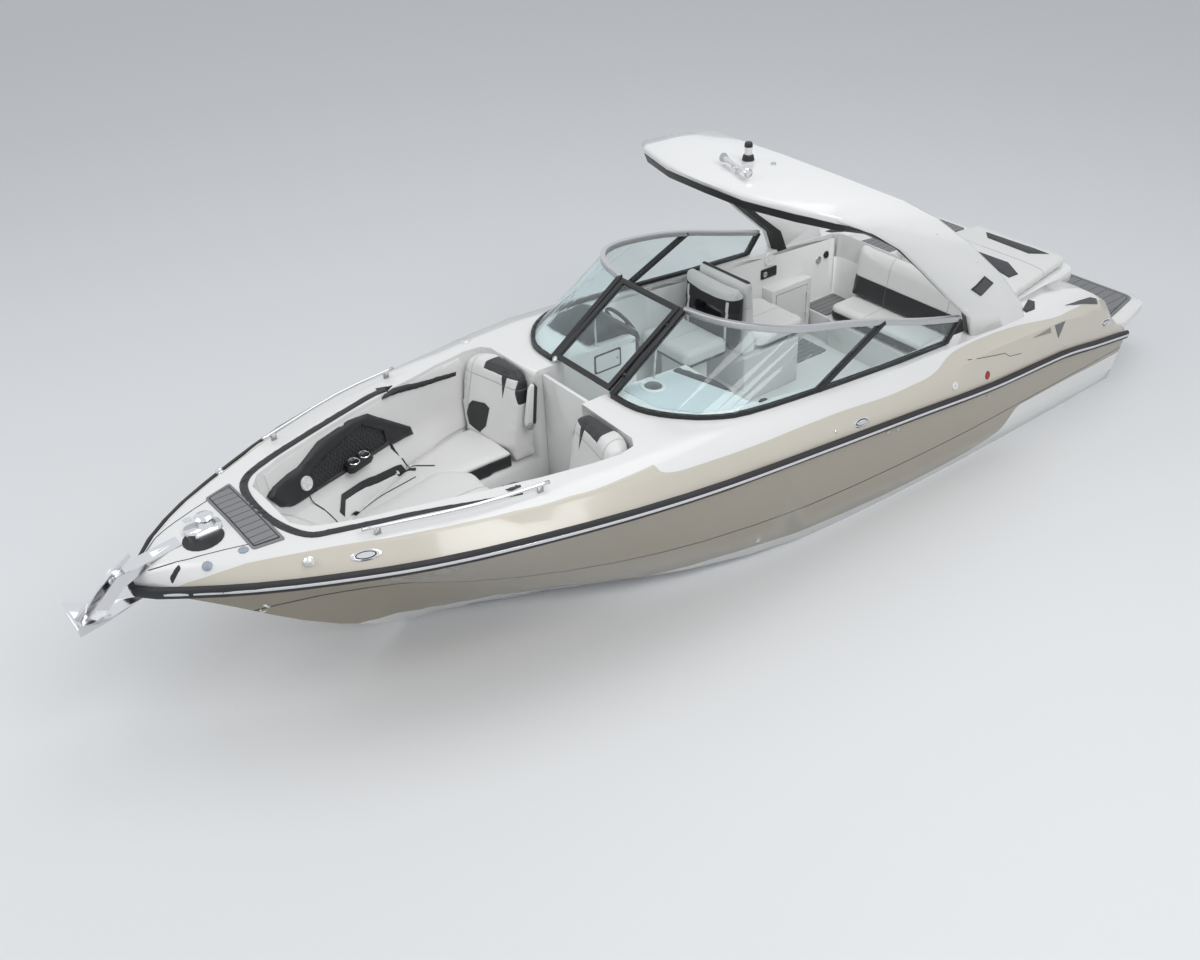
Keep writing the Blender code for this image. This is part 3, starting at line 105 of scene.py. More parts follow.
# Plastics by name: slot, colour, lowest and highest roughness, and grain in metres
PLASTICS = {
    "black": ("black_trim", BLACK, 0.35, 0.5, 0.0001),
    "rubber": ("rub_rubber", (0.022, 0.022, 0.024), 0.55, 0.7, 0.0001),
    "drive_paint": ("black_paint", (0.03, 0.03, 0.034), 0.3, 0.45, 0.0001),
    "grey_pad": ("black_trim", GREY_PAD, 0.75, 0.85, 0.0003),
    "grey_plastic": ("black_trim", (0.30, 0.31, 0.32), 0.4, 0.55, 0.0001),
    "switch_cap": ("black_trim", (0.33, 0.38, 0.44), 0.3, 0.4, 0.0001),
    "smoke": ("black_trim", (0.06, 0.065, 0.07), 0.1, 0.2, 0.0001),
    "tray": ("white_vinyl", (0.62, 0.68, 0.70), 0.4, 0.5, 0.0002),
    "seam_grey": ("black_trim", (0.22, 0.22, 0.23), 0.5, 0.6, 0.0001),
    "gauge_face": ("black_trim", (0.05, 0.055, 0.06), 0.15, 0.25, 0.0001),
    "light_lens": ("white_gelcoat", (0.75, 0.75, 0.73), 0.1, 0.2, 0.0001),
    "plate_face": ("black_trim", (0.05, 0.05, 0.055), 0.2, 0.3, 0.0001),
    "smoke_grey": ("black_trim", (0.10, 0.10, 0.105), 0.3, 0.4, 0.0001),
    "scoop_grey": ("black_trim", (0.16, 0.16, 0.16), 0.4, 0.5, 0.0001),
    # Painted shade for the recessed slot on each quarter: half the beige band's colour
    "slot_grey": ("black_trim", (0.30, 0.28, 0.24), 0.4, 0.5, 0.0001),
    "reflector": ("black_trim", (0.30, 0.02, 0.02), 0.15, 0.25, 0.0001),
}
COAT_ROUGHNESS = 0.06

# Sewing: how deep a seam is, and its stitches' pitch, gap, distance from the seam and thickness
SEAM_DEPTH = 0.004
STITCH_PITCH = 0.004
STITCH_GAP = 0.0014
STITCH_AWAY = 0.006
STITCH_THICK = 0.0006

# Pads: lift off the surface, where outlines are cast from, and a cushion's pressure, reach and rise
PAD_LIFT = 0.0005
CAST_FROM = 3.0
PAD_PRESSURE = 4.0
PAD_REACH = 0.014
PAD_PROUD = 0.012

# Upper edge of the white strake, the pinstripe, and the beige band, each by x
BOOT_TOP = (
    (-4.20, 0.31), (-3.98, 0.31), (-3.20, 0.33), (-2.60, 0.33), (-2.45, 0.20), (-2.34, 0.11), (-1.28, 0.06),
    (-0.07, 0.11), (0.86, 0.17), (2.30, 0.17), (4.60, 0.17),
)
PIN_STRIPE = ((-4.20, 0.36), (-2.49, 0.354), (-0.634, 0.381), (0.565, 0.441), (2.50, 0.56), (4.60, 0.70))
BAND_EDGE = (
    (-4.20, 1.10), (-2.346, 1.15), (0.05, 1.17), (1.00, 1.18), (1.493, 1.185), (1.80, 1.165),
    (2.10, 1.120), (2.434, 1.050), (3.08, 0.845), (3.51, 0.650), (3.881, 0.485), (4.222, 0.32),
    (4.53, 0.10),
)
BAND_TOP = (
    (-4.20, 0.70), (-3.60, 1.00), (-2.90, 1.06), (-2.346, 1.14), (-1.639, 1.18), (-1.132, 1.10),
    (0.05, 1.201), (1.00, 1.255), (1.45, 1.30), (1.60, 1.50), (3.00, 1.50), (4.60, 1.50),
)

# Bow: the charcoal band over the coaming from starboard aft round to port
BOW_BAND = (
    (2.290, -0.815), (2.400, -0.812), (2.530, -0.792), (2.989, -0.646), (3.426, -0.494), (3.630, -0.370),
    (3.706, -0.160), (3.706, 0.160), (3.606, 0.440), (3.421, 0.535), (2.973, 0.693), (2.650, 0.820),
    (2.360, 0.930),
)
BOW_BAND_WALL = ((1.700, 1.235), (1.850, 1.262), (2.068, 1.303), (2.220, 1.338), (2.420, 1.374))
BOW_SEAT_Z = (0.660, 0.812)
BOW_SEAT_BAND = (0.600, 0.778)
BOW_CENTRE_Z = (0.735, 0.850)
BOW_SEAT = [
    (1.640, 0.308), (1.640, 0.850), (1.900, 0.825), (2.300, 0.690), (2.700, 0.505), (3.000, 0.345),
    (3.200, 0.235), (3.240, 0.006), (2.440, 0.006), (2.400, 0.100), (2.340, 0.278),
]
BOW_BACK = (
    (0.662, ((1.430, 0.730), (1.600, 0.820), (1.640, 0.815), (1.640, 0.560), (1.640, 0.312), (1.430, 0.312))),
    (0.800, ((1.430, 0.775), (1.600, 0.870), (1.765, 0.825), (1.690, 0.560), (1.625, 0.312), (1.430, 0.312))),
    (0.980, ((1.430, 0.830), (1.600, 0.930), (1.735, 0.905), (1.650, 0.580), (1.592, 0.312), (1.430, 0.312))),
    (1.250, ((1.428, 0.850), (1.560, 0.960), (1.665, 0.930), (1.590, 0.600), (1.545, 0.318), (1.428, 0.318))),
    (1.360, ((1.428, 0.820), (1.545, 0.930), (1.635, 0.890), (1.570, 0.600), (1.525, 0.345), (1.428, 0.345))),
    (1.405, ((1.440, 0.760), (1.530, 0.860), (1.595, 0.800), (1.550, 0.600), (1.510, 0.420), (1.440, 0.420))),
)
BOW_CENTRE = [
    (2.250, -0.430), (2.100, -0.320), (2.035, -0.220), (2.060, 0.0), (2.035, 0.220), (2.100, 0.320),
    (2.250, 0.430), (3.030, 0.280), (3.120, 0.200), (3.120, -0.200), (3.030, -0.280),
]
BOW_NOSE = [(3.20, -0.24), (3.34, -0.13), (3.56, -0.085), (3.56, 0.085), (3.34, 0.13), (3.20, 0.24)]
CUP_LEDGE = ((2.885, -0.01), (2.885, 0.085), (2.850, 0.112), (2.690, 0.112), (2.650, 0.085), (2.650, -0.01))
ARMREST = (
    (1.525, 0.975), (1.535, 1.020), (1.480, 1.285), (1.455, 1.315), (1.425, 1.315), (1.405, 1.285),
    (1.440, 0.990), (1.465, 0.965),
)
BOW_LINES = (
    (0.006, ((2.462, -0.702), (2.340, -0.606), (2.215, -0.500))),
    (0.014, ((2.350, -0.545), (2.420, -0.605), (2.700, -0.530), (2.977, -0.438), (3.045, -0.350))),
    (0.0035, ((2.400, -0.462), (2.700, -0.410), (2.985, -0.345))),
    (0.005, ((3.235, -0.450), (3.150, -0.340), (3.110, -0.300))),
)
BOLSTER = [
    (1.66, 0.80), (3.10, 0.80), (3.20, 0.85), (3.38, 0.98), (3.50, 1.08), (3.50, 1.345), (1.66, 1.345),
]
BOLSTER_FRONT = [(-0.22, 1.06), (0.22, 1.06), (0.30, 1.345), (-0.30, 1.345)]
POCKET = [
    (3.532, 1.215), (3.466, 1.253), (3.248, 1.264), (3.035, 1.332), (2.752, 1.345), (2.580, 1.318),
    (2.380, 1.159), (2.230, 1.039), (2.215, 0.970), (2.454, 1.003), (3.169, 1.034), (3.368, 1.045),
    (3.465, 1.103),
]
POCKET_HOLE = [(2.671, 1.273), (2.498, 1.143), (2.487, 1.045), (3.150, 1.058), (3.167, 1.179)]
POCKET_INSIDE = [(2.690, 1.285), (2.480, 1.150), (2.470, 1.030), (3.170, 1.045), (3.185, 1.190)]

# Charcoal on a bow back, by share of its breadth and by height, then that breadth and the seams
BACK_PANELS = (
    (
        (0.25, 1.06), (0.45, 1.075), (0.53, 1.05), (0.51, 0.90), (0.42, 0.83), (0.25, 0.87), (0.18, 0.94),
        (0.20, 1.02),
    ),
    ((0.36, 1.335), (1.10, 1.335), (1.10, 1.60), (0.30, 1.60)),
    ((0.885, 0.66), (1.10, 0.66), (1.10, 1.36), (0.83, 1.36), (0.90, 1.24)),
    ((0.66, 1.36), (0.725, 1.17), (0.76, 1.36)),
)
BACK_OUTBOARD = 0.925
BACK_BREADTH = 0.617
BACK_SEAM_Y = 0.815
BACK_SEAM_Z = 1.265
ARMREST_PANEL = [(1.500, 0.80), (1.425, 1.40), (1.20, 1.40), (1.20, 0.80)]

# Cushions in their nodes' shapes: node, material, voxel, seams, and the charcoal band's heights
SEATS = (
    ("bench_seat", "bench", 0.020, [("y", -0.30), ("y", 0.42)], (0.40, 0.615)),
    ("bench_back", "bench_rest", 0.020, [("y", -0.30), ("y", 0.42)], (0.50, 0.89)),
    ("lounge_seat", "lounge", 0.020, [("x", -1.45)], (0.40, 0.615)),
    ("lounge_back", "lounge_rest", 0.020, [("x", -1.45)], (0.60, 0.80)),
    ("helm_seat", "helm_roll", 0.016, [("y", -0.71)], (0.70, 0.845)),
)
AFT_SEATS = (
    ("aft_facing_seat", "aft_seat", 0.016, [("y", -0.71)], (0.60, 0.745)),
    ("aft_facing_back", "aft_rest", 0.016, [("z", 1.16)], (1.385, 1.60)),
)

# Foredeck: the step pad, its line and its planks, then the grooves and the latch
BOW_STEP = [(3.915, -0.330), (3.728, -0.392), (3.722, 0.402), (3.915, 0.372)]
BOW_STEP_LINE = [(3.900, -0.314), (3.744, -0.362), (3.740, 0.374), (3.900, 0.352)]
BOW_STEP_IN = [(3.893, -0.306), (3.752, -0.350), (3.748, 0.362), (3.893, 0.344)]
FOREDECK_LINES = (
    [(4.446, 0.067), (4.320, 0.150), (4.240, 0.190), (3.910, 0.305)],
    [(4.446, -0.067), (4.320, -0.150), (4.240, -0.190), (3.910, -0.305)],
)
LATCH = [(4.07, -0.205), (4.115, -0.205), (4.115, -0.160), (4.07, -0.160)]

# Port console: its round hatch, the pale tray round that, and the padded band aft of it
CONSOLE_HATCH = (0.868, 0.425)
CONSOLE_TRAY = [(1.08, 0.33), (0.62, 0.33), (0.40, 1.00), (0.62, 1.00), (0.86, 0.90), (1.04, 0.68)]
CONSOLE_BAND = [(0.60, 0.325), (0.535, 0.325), (0.300, 1.040), (0.385, 1.045)]

# Helm back: white over the top and down both ends
HELM_PATCHES = (
    [(-1.05, 1.290), (-0.80, 1.255), (-0.60, 1.255), (-0.35, 1.290), (-0.35, 1.60), (-1.05, 1.60)],
    [(-0.965, 0.80), (-0.935, 0.80), (-0.945, 1.26), (-0.975, 1.26)],
    [(-0.485, 0.80), (-0.455, 0.80), (-0.445, 1.26), (-0.475, 1.26)],
)

# Bow walls: the cup holders' and the speaker's places
BOW_CUPS_X = (2.815, 2.715)
BOW_SPEAKER_X = 3.225
BOW_SPEAKER_Z = 1.144

# Starboard wall: the panel in the walkway and its edge, and the stereo. Then the pads beside it
WALK_PANEL_EDGE = [(0.86, 1.18), (0.86, 1.34), (0.60, 1.34), (0.60, 1.18)]
WALK_PANEL = [(0.845, 1.195), (0.845, 1.325), (0.615, 1.325), (0.615, 1.195)]
WALL_SPEAKER_X = -1.790
WALL_SPEAKER_Z = 1.128
STEREO = [(-1.69, 0.945), (-1.69, 1.040), (-1.89, 1.040), (-1.89, 0.945)]
STEP_PAD = [(-2.28, -1.07), (-2.28, -0.77), (-2.69, -0.77), (-2.69, -1.07)]
FLOOR_PAD = [(-1.66, -0.95), (-1.66, -0.60), (-2.14, -0.60), (-2.14, -0.95)]

# Arch: foremost edge then aftmost edge from the port foot to the crown, its thickness and its marks
ARCH = (
    (-1.870, 1.190, 1.165, -2.570, 1.200, 1.150), (-1.780, 1.190, 1.380, -2.500, 1.220, 1.260),
    (-1.470, 1.190, 1.640, -2.420, 1.225, 1.360), (-1.150, 1.185, 1.930, -2.090, 1.230, 1.680),
    (-0.840, 1.175, 2.210, -1.620, 1.200, 2.070), (-0.540, 1.150, 2.410, -1.260, 1.150, 2.340),
    (-0.260, 1.060, 2.550, -1.020, 1.040, 2.490), (-0.080, 0.820, 2.600, -0.870, 0.800, 2.570),
    (0.040, 0.420, 2.610, -0.820, 0.400, 2.600), (0.060, 0.000, 2.615, -0.810, 0.000, 2.610),
)
ARCH_THICK = 0.09
ARCH_INSIDE_Z = 1.7
LIGHT_BASE = (-0.42, 0.0, 2.68)
ARCH_SCREWS = ((-1.224, 2.237), (-1.731, 1.890), (-2.106, 1.579), (-2.394, 1.314), (-1.717, 1.467))
ARCH_PLATE = [(-1.698, 1.665), (-1.844, 1.738), (-1.978, 1.641), (-1.834, 1.570)]
ARCH_PLATE_MIDDLE = (-1.838, 1.654)
ARCH_PLATE_FACE = 0.86

# Stern: the sunpad, the inserts, the pads beside it and on the platform, the flat marks and the sill
PAD_Z = (1.09, 1.19)
PAD_OUTLINE = [
    (-2.780, -0.450), (-3.500, -0.355), (-3.835, -0.320), (-3.875, -0.250), (-3.875, 0.700),
    (-3.840, 0.760), (-2.840, 0.925), (-2.780, 0.880),
]
# The sunpad's crease, in x and y, where a grey line of painted shade runs
PAD_CREASE_SHADE = [(-3.41, 0.10), (-3.41, 0.78)]
PAD_INSERTS = (
    [(-3.713, -0.086), (-3.742, 0.420), (-3.732, 0.624), (-3.593, 0.496), (-3.607, 0.013)],
    [(-3.272, 0.092), (-3.285, 0.494), (-3.142, 0.711), (-3.014, 0.705), (-3.100, 0.400)],
)
QUARTER_INSERT = [(-2.883, 1.020), (-2.896, 1.080), (-2.758, 1.180), (-2.630, 1.182), (-2.655, 1.125)]
STERN_WALK = [(-2.80, -0.53), (-3.84, -0.42), (-3.84, -0.74), (-2.80, -0.88)]
PLATFORM_PAD = [
    (-4.835, -0.92), (-4.790, -0.98), (-4.225, -1.10), (-4.225, 1.10), (-4.790, 0.98), (-4.835, 0.92),
]
FASCIA = [
    (-3.112, 1.098), (-3.300, 1.080), (-3.500, 1.058), (-3.600, 1.016), (-3.620, 0.960), (-3.431, 1.020),
]
SCOOP = [(-2.886, 1.004), (-3.045, 0.993), (-2.946, 0.872)]
# The recessed slot beside the scoop, in x and z, drawn as painted shade
SCOOP_SLOT_SHADE = [(-2.559, 0.997), (-2.820, 1.005), (-2.835, 0.954), (-2.603, 0.989)]
STERN_LEDGE_X = (-3.80, -3.89, -3.99)
STERN_LEDGE = (
    (-1.12, 0.915, 0.832, 0.755),
    (-0.70, 0.925, 0.880, 0.835),
    (0.0, 0.930, 0.895, 0.850),
    (0.70, 0.925, 0.880, 0.835),
    (1.12, 0.915, 0.832, 0.755),
)
QUARTER_SEAM = [(-1.675, 1.089), (-2.161, 0.991), (-2.200, 0.960), (-2.235, 0.941), (-2.393, 0.914)]

# Fittings on the topsides by x and z, and on the deck and the arch by x and y
FUEL_CAP_AT = (-1.487, 0.937)
REFLECTOR_AT = (-1.921, 0.880)
SIDE_DOT_AT = (-0.087, 1.067)
STERN_DOT_AT = (-3.053, 0.776)
DRAIN_AT = (0.460, 0.220)
MID_CLEAT_AT = (-0.369, 1.037)
STERN_CLEAT_AT = (-3.762, 0.745)
BOW_LIGHT_AT = (3.691, 0.626)
BOW_CLEAT_AT = (3.400, 0.782)
SIDE_CAP_AT = (1.490, -1.119)
ARCH_STUD_AT = (-0.545, 0.143)
FOOT_SWITCHES = ((3.960, 0.336), (4.175, 0.303))
VENTS = ((-0.678, 0.835), (-0.797, 0.813), (-1.967, 0.671))

# Turned fittings: distance from the axis and height above the surface
CLEAT_RIM = [(0.0, -0.002), (0.034, -0.002), (0.034, 0.003), (0.029, 0.007), (0.025, 0.004), (0.0, 0.004)]
CONSOLE_RING = [(0.066, 0.0), (0.098, 0.0), (0.098, 0.006), (0.090, 0.013), (0.074, 0.013), (0.066, 0.006)]
GAUGE_RIM = [(0.030, 0.0), (0.042, 0.0), (0.042, 0.008), (0.036, 0.012), (0.030, 0.008)]
LIGHT_COLLAR = [(0.0, -0.02), (0.048, -0.02), (0.040, 0.014), (0.031, 0.022), (0.0, 0.024)]
FUEL_CAP = [(0.0, 0.0), (0.034, 0.0), (0.034, 0.006), (0.028, 0.010), (0.022, 0.007), (0.0, 0.007)]
DRAIN = [(0.010, 0.0), (0.022, 0.0), (0.022, 0.004), (0.016, 0.007), (0.010, 0.002)]
BOW_LIGHT = [
    (0.0, 0.0), (0.030, 0.0), (0.030, 0.005), (0.022, 0.009), (0.020, 0.014), (0.026, 0.022),
    (0.024, 0.034), (0.014, 0.041), (0.0, 0.043),
]

# The same for a cup holder and a speaker, by shares of their radius
CUP_RING = [(0.86, -0.030), (1.16, -0.030), (1.20, 0.004), (1.08, 0.008), (0.98, 0.002), (0.92, -0.026)]
SPEAKER_RING = [(0.80, 0.0), (1.0, 0.0), (1.0, 0.008), (0.94, 0.014), (0.84, 0.014), (0.80, 0.008)]

# The rub rail's strip in section: outward and up
RAIL_STRIP = [
    (-0.004, -0.011), (0.003, -0.011), (0.007, -0.006), (0.007, 0.006), (0.003, 0.011), (-0.004, 0.011),
]


class Shade:
    """A Principled material with helpers for masks, noise and bumps in object coordinates."""

    def __init__(self, name, colour, roughness, metallic=0.0, coat=0.0, sheen=0.0):
        self.made = bpy.data.materials.new(name)
        self.made.use_nodes = True
        self.nodes = self.made.node_tree.nodes
        self.links = self.made.node_tree.links
        self.shader = self.nodes["Principled BSDF"]
        self.put(self.shader, Base_Color=(*colour, 1.0), Roughness=roughness, Metallic=metallic)
        self.put(self.shader, Coat_Weight=coat, Coat_Roughness=COAT_ROUGHNESS, Sheen_Weight=sheen)
        self.place = self.node("TexCoord").outputs["Object"]
        self.axes = dict(zip("xyz", self.node("SeparateXYZ", Vector=self.place).outputs))
        self.height = None

    def feed(self, socket, value):
        if isinstance(value, bpy.types.NodeSocket):
            self.links.new(value, socket)
        else:
            socket.default_value = value

    def put(self, node, **values):
        """Sets or links sockets by name, with an underscore for each space."""
        for name, value in values.items():
            self.feed(node.inputs[name.replace("_", " ")], value)

    def node(self, kind, **values):
        made = self.nodes.new("ShaderNode" + kind)
        self.put(made, **values)
        return made

    def math(self, operation, first, second=0.0, third=None):
        node = self.node("Math")
        node.operation = operation
        self.feed(node.inputs[0], first)
        self.feed(node.inputs[1], second)
        if third is not None:
            self.feed(node.inputs[2], third)
        return node.outputs[0]

    def band(self, value, centre, half, soft=0.0015):
        """One inside centre ± half, fading to nothing over the soft width."""
        away = self.math("ABSOLUTE", self.math("SUBTRACT", value, centre))
        return self.node("MapRange", Value=away, From_Min=half + soft, From_Max=half).outputs["Result"]

    def above(self, value, level, soft=0.002):
        """One where value is over the level."""
        over = self.math("SUBTRACT", value, level)
        return self.node("MapRange", Value=over, From_Min=-soft, From_Max=soft).outputs["Result"]

    def curve(self, value, points, top=2.0):
        """A height, from 0 to the top, that follows x through the given points."""
        low, high = points[0][0], points[-1][0]
        share = self.node("MapRange", Value=value, From_Min=low, From_Max=high)
        node = self.node("FloatCurve")
        line = node.mapping.curves[0]
        wanted = [((x - low) / (high - low), y / top) for x, y in points]
        line.points[0].location = wanted[0]
        line.points[-1].location = wanted[-1]
        for x, y in wanted[1:-1]:
            line.points.new(x, y)
        for point in line.points:
            point.handle_type = "AUTO_CLAMPED"
        node.mapping.update()
        self.put(node, Value=share.outputs["Result"])
        return self.math("MULTIPLY", node.outputs[0], top)

    def noise(self, scale, detail=2.0, stretch=None):
        place = self.place
        if stretch:
            place = self.node("Mapping", Scale=stretch, Vector=place).outputs[0]
        return self.node("TexNoise", Scale=scale, Detail=detail, Vector=place).outputs["Fac"]

    def cells(self, scale):
        return self.node("TexVoronoi", Scale=scale, Vector=self.place).outputs["Distance"]

    def paint(self, mask, colour):
        """Lays a colour over the base where the mask is one."""
        mix = self.nodes.new("ShaderNodeMix")
        mix.data_type = "RGBA"
        base = self.shader.inputs["Base Color"]
        under = base.links[0].from_socket if base.is_linked else base.default_value
        self.put(mix, Factor=mask, A=under, B=(*colour, 1.0))
        self.links.new(mix.outputs["Result"], base)

    def mottle(self, scale, amount, colour):
        """Uneven tone: the colour shows through by up to the amount."""
        self.paint(self.math("MULTIPLY", self.noise(scale, 4.0), amount), colour)

    def rough(self, scale, low, high):
        """Roughness that wanders between two values."""
        node = self.node("MapRange", Value=self.noise(scale, 3.0), To_Min=low, To_Max=high)
        self.put(self.shader, Roughness=node.outputs["Result"])

    def raise_by(self, value, depth):
        """Adds relief of the given depth in metres."""
        part = self.math("MULTIPLY", value, depth)
        self.height = part if self.height is None else self.math("ADD", self.height, part)

    def inside(self, first, second, corners):
        """Distance to the nearest side of a convex outline, positive within it."""
        turn = way_round(corners)
        least = None
        for (ax, ay), (bx, by) in zip(corners, corners[1:] + corners[:1]):
            length = math.hypot(bx - ax, by - ay)
            nx, ny = (ay - by) / length * turn, (bx - ax) / length * turn
            part = self.math("MULTIPLY_ADD", self.axes[first], nx, -(nx * ax + ny * ay))
            side = self.math("MULTIPLY_ADD", self.axes[second], ny, part)
            least = side if least is None else self.math("MINIMUM", least, side)
        return least

    def stroke(self, first, second, points, half, colour):
        """A line of another colour through the given points."""
        for start, end in zip(points, points[1:]):
            start, end = Vector(start), Vector(end)
            along = (end - start).normalized() * half
            side = Vector((-along.y, along.x))
            box = [start - along + side, end + along + side, end + along - side, start - along - side]
            self.patch(first, second, [tuple(corner) for corner in box], colour, sewn=False)

    def patch(self, first, second, corners, colour, sewn=True):
        """A panel of another colour with a seam round it."""
        depth = self.inside(first, second, corners)
        self.paint(self.above(depth, 0.0, 0.0008), colour)
        if sewn:
            self.raise_by(self.band(depth, 0.0, 0.001, 0.004), -0.003)

    def done(self):
        if self.height is not None:
            bump = self.node("Bump", Strength=1.0, Distance=1.0, Height=self.height)
            self.put(self.shader, Normal=bump.outputs[0])
        return self.made


def way_round(corners):
    """One for an outline that runs anticlockwise, or else minus one."""
    after = corners[1:] + corners[:1]
    return 1.0 if sum(a[0] * b[1] - b[0] * a[1] for a, b in zip(corners, after)) > 0 else -1.0


def gelcoat(name, colour):
    shade = Shade(name, colour, 0.22, coat=0.5)
    shade.mottle(1.3, 0.05, tuple(part * 0.86 for part in colour))
    shade.rough(3.0, 0.16, 0.30)
    shade.raise_by(shade.noise(140.0, 1.0), 0.00006)
    return shade


def vinyl(name, colour, seams=(), bands=(), patches=(), strokes=()):
    """Marine vinyl with sewn seams at coordinates, charcoal bands between heights, and panels."""
    shade = Shade(name, colour, 0.5, sheen=0.12 if colour[0] > 0.1 else 0.02)
    shade.mottle(5.0, 0.10, tuple(part * 0.82 for part in colour))
    for low, high in bands:
        shade.paint(shade.band(shade.axes["z"], (low + high) / 2, (high - low) / 2, 0.001), CHARCOAL)
    for first, second, corners, other in patches:
        shade.patch(first, second, corners, other)
    for first, second, points, half, other in strokes:
        shade.stroke(first, second, points, half, other)
    shade.rough(9.0, 0.42, 0.58)
    shade.raise_by(shade.cells(420.0), 0.00012)
    shade.raise_by(shade.noise(30.0, 3.0), 0.0006)
    for axis, level in list(seams) + [("z", level) for levels in bands for level in levels]:
        value = shade.axes[axis]
        shade.raise_by(shade.band(value, level, 0.0015, 0.006), -SEAM_DEPTH)
        # Painted shade: each seam's groove is darkened towards a third of the vinyl's own colour
        seam_shade = shade.math("MULTIPLY", shade.band(value, level, 0.0012, 0.0015), 0.55)
        shade.paint(seam_shade, tuple(part * 0.35 for part in colour))
        pitch = shade.math("PINGPONG", shade.axes["x" if axis == "y" else "y"], STITCH_PITCH)
        stitch = shade.math("GREATER_THAN", pitch, STITCH_GAP)
        for offset in (-STITCH_AWAY, STITCH_AWAY):
            row = shade.band(value, level + offset, STITCH_THICK, STITCH_THICK)
            shade.raise_by(shade.math("MULTIPLY", row, stitch), STITCH_THICK)
    return shade


def quilt(name, first, second, pitch=0.032):
    """Charcoal vinyl sewn in diamonds."""
    shade = vinyl(name, CHARCOAL)
    for sign in (1.0, -1.0):
        lean = shade.math("MULTIPLY_ADD", shade.axes[second], sign * 0.6, shade.axes[first])
        row = shade.math("PINGPONG", lean, pitch / 2)
        shade.raise_by(shade.band(row, 0.0, 0.0008, 0.006), -0.0035)
    return shade


def plank_pad(name, pitch):
    """Grey foam decking with dark caulk lines that run fore and aft."""
    shade = Shade(name, GREY_PAD, 0.8)
    shade.mottle(4.0, 0.3, PLANK_DARK)
    grain = shade.noise(60.0, 4.0, (0.4, 14.0, 1.0))
    shade.paint(shade.math("MULTIPLY", grain, 0.25), PLANK_PALE)
    row = shade.math("PINGPONG", shade.axes["y"], pitch / 2)
    line = shade.band(row, 0.0, 0.0022, 0.0012)
    shade.paint(line, CAULK)
    shade.raise_by(line, -0.0008)
    shade.raise_by(shade.noise(700.0), 0.0003)
    return shade


def hull_finish(name):
    """Taupe topsides with a white strake under them and a dark pinstripe."""
    shade = gelcoat(name, TAUPE)
    x, z = shade.axes["x"], shade.axes["z"]
    shade.paint(shade.math("LESS_THAN", z, shade.curve(x, BOOT_TOP)), WHITE)
    above_stripe = shade.math("SUBTRACT", z, shade.curve(x, PIN_STRIPE))
    shade.paint(shade.band(above_stripe, 0.0, 0.006, 0.001), PIN_STRIPE_COLOUR)
    return shade


def deck_finish(name):
    """White with a beige band outside its edge and under its top."""
    shade = gelcoat(name, WHITE)
    x, z = shade.axes["x"], shade.axes["z"]
    wide = shade.math("ABSOLUTE", shade.axes["y"])
    outside = shade.math("GREATER_THAN", wide, shade.curve(x, BAND_EDGE))
    below = shade.math("LESS_THAN", z, shade.curve(x, BAND_TOP))
    shade.paint(shade.math("MULTIPLY", outside, below), BEIGE)
    return shade


def metal(name, colour, low, high):
    shade = Shade(name, colour, low, metallic=1.0)
    shade.rough(14.0, low, high)
    shade.raise_by(shade.noise(260.0, 2.0), 0.00002)
    return shade


def plastic(name, colour, low, high, grain):
    shade = Shade(name, colour, low)
    shade.mottle(6.0, 0.2, tuple(part * 0.7 + 0.004 for part in colour))
    shade.rough(11.0, low, high)
    shade.raise_by(shade.noise(520.0, 2.0), grain)
    return shade


def tinted_glass(name):
    shade = Shade(name, GLASS_TINT, 0.02)
    shade.put(shade.shader, Transmission_Weight=0.96, IOR=1.03, Coat_Weight=0.45, Coat_Roughness=0.02)
    shade.mottle(0.9, 0.08, tuple(part * 0.9 for part in GLASS_TINT))
    return shade


def look(slot, maker, name, *values):
    """Makes a material once, keeps it by name and notes the slot that it stands for."""
    if name not in MATERIALS:
        MATERIALS[name] = maker(name, *values).done()
        SLOTS[MATERIALS[name].name] = slot
    return MATERIALS[name]


def moulded(name):
    """One of the plastics."""
    slot, *values = PLASTICS[name]
    return look(slot, plastic, name, *values)


def black():
    return moulded("black")


def white_gel():
    return look("white_gelcoat", gelcoat, "white_gel", WHITE)


def steel():
    return look("stainless", metal, "steel", STEEL, 0.08, 0.2)


def aluminium():
    return look("stainless", metal, "aluminium", ALUMINIUM, 0.28, 0.4)


def charcoal():
    return look("charcoal_vinyl", vinyl, "charcoal", CHARCOAL)


def white_vinyl(name, *values):
    return look("white_vinyl", vinyl, name, VINYL_WHITE, *values)


def quilted(name, first, second):
    return look("charcoal_vinyl", quilt, name, first, second)


def planks(name, pitch):
    return look("black_trim", plank_pad, name, pitch)


def linked(name, data):
    """A new object in the scene."""
    made = bpy.data.objects.new(name, data)
    bpy.context.scene.collection.objects.link(made)
    return made


def ready(made, finish, body="boat", slot=None):
    """Gives a piece its finish and the body it rides on; its slot, the finish's own unless given, goes
    unused.
    """
    made.data.materials.clear()
    made.data.materials.append(finish)
    slot = slot or SLOTS[finish.name]
    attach(made, body)
    return made


def work_of(mesh):
    work = bmesh.new()
    work.from_mesh(mesh)
    return work


def ease_edges(work, angle, bevel, segments=2):
    """Bevels the edges that are sharper than the angle."""
    limit = math.radians(angle)
    sharp = [edge for edge in work.edges if len(edge.link_faces) == 2 and edge.calc_face_angle(0) > limit]
    more = {"affect": "EDGES", "profile": 0.5, "clamp_overlap": True}
    bmesh.ops.bevel(work, geom=sharp, offset=bevel, segments=segments, **more)


def made_from(work, name, finish, angle, **more):
    """The piece that a work mesh becomes, smooth but for edges sharper than the angle."""
    mesh = bpy.data.meshes.new(name)
    work.to_mesh(mesh)
    work.free()
    mesh.shade_smooth()
    mesh.set_sharp_from_angle(angle=math.radians(angle))
    return ready(linked(name, mesh), finish, **more)


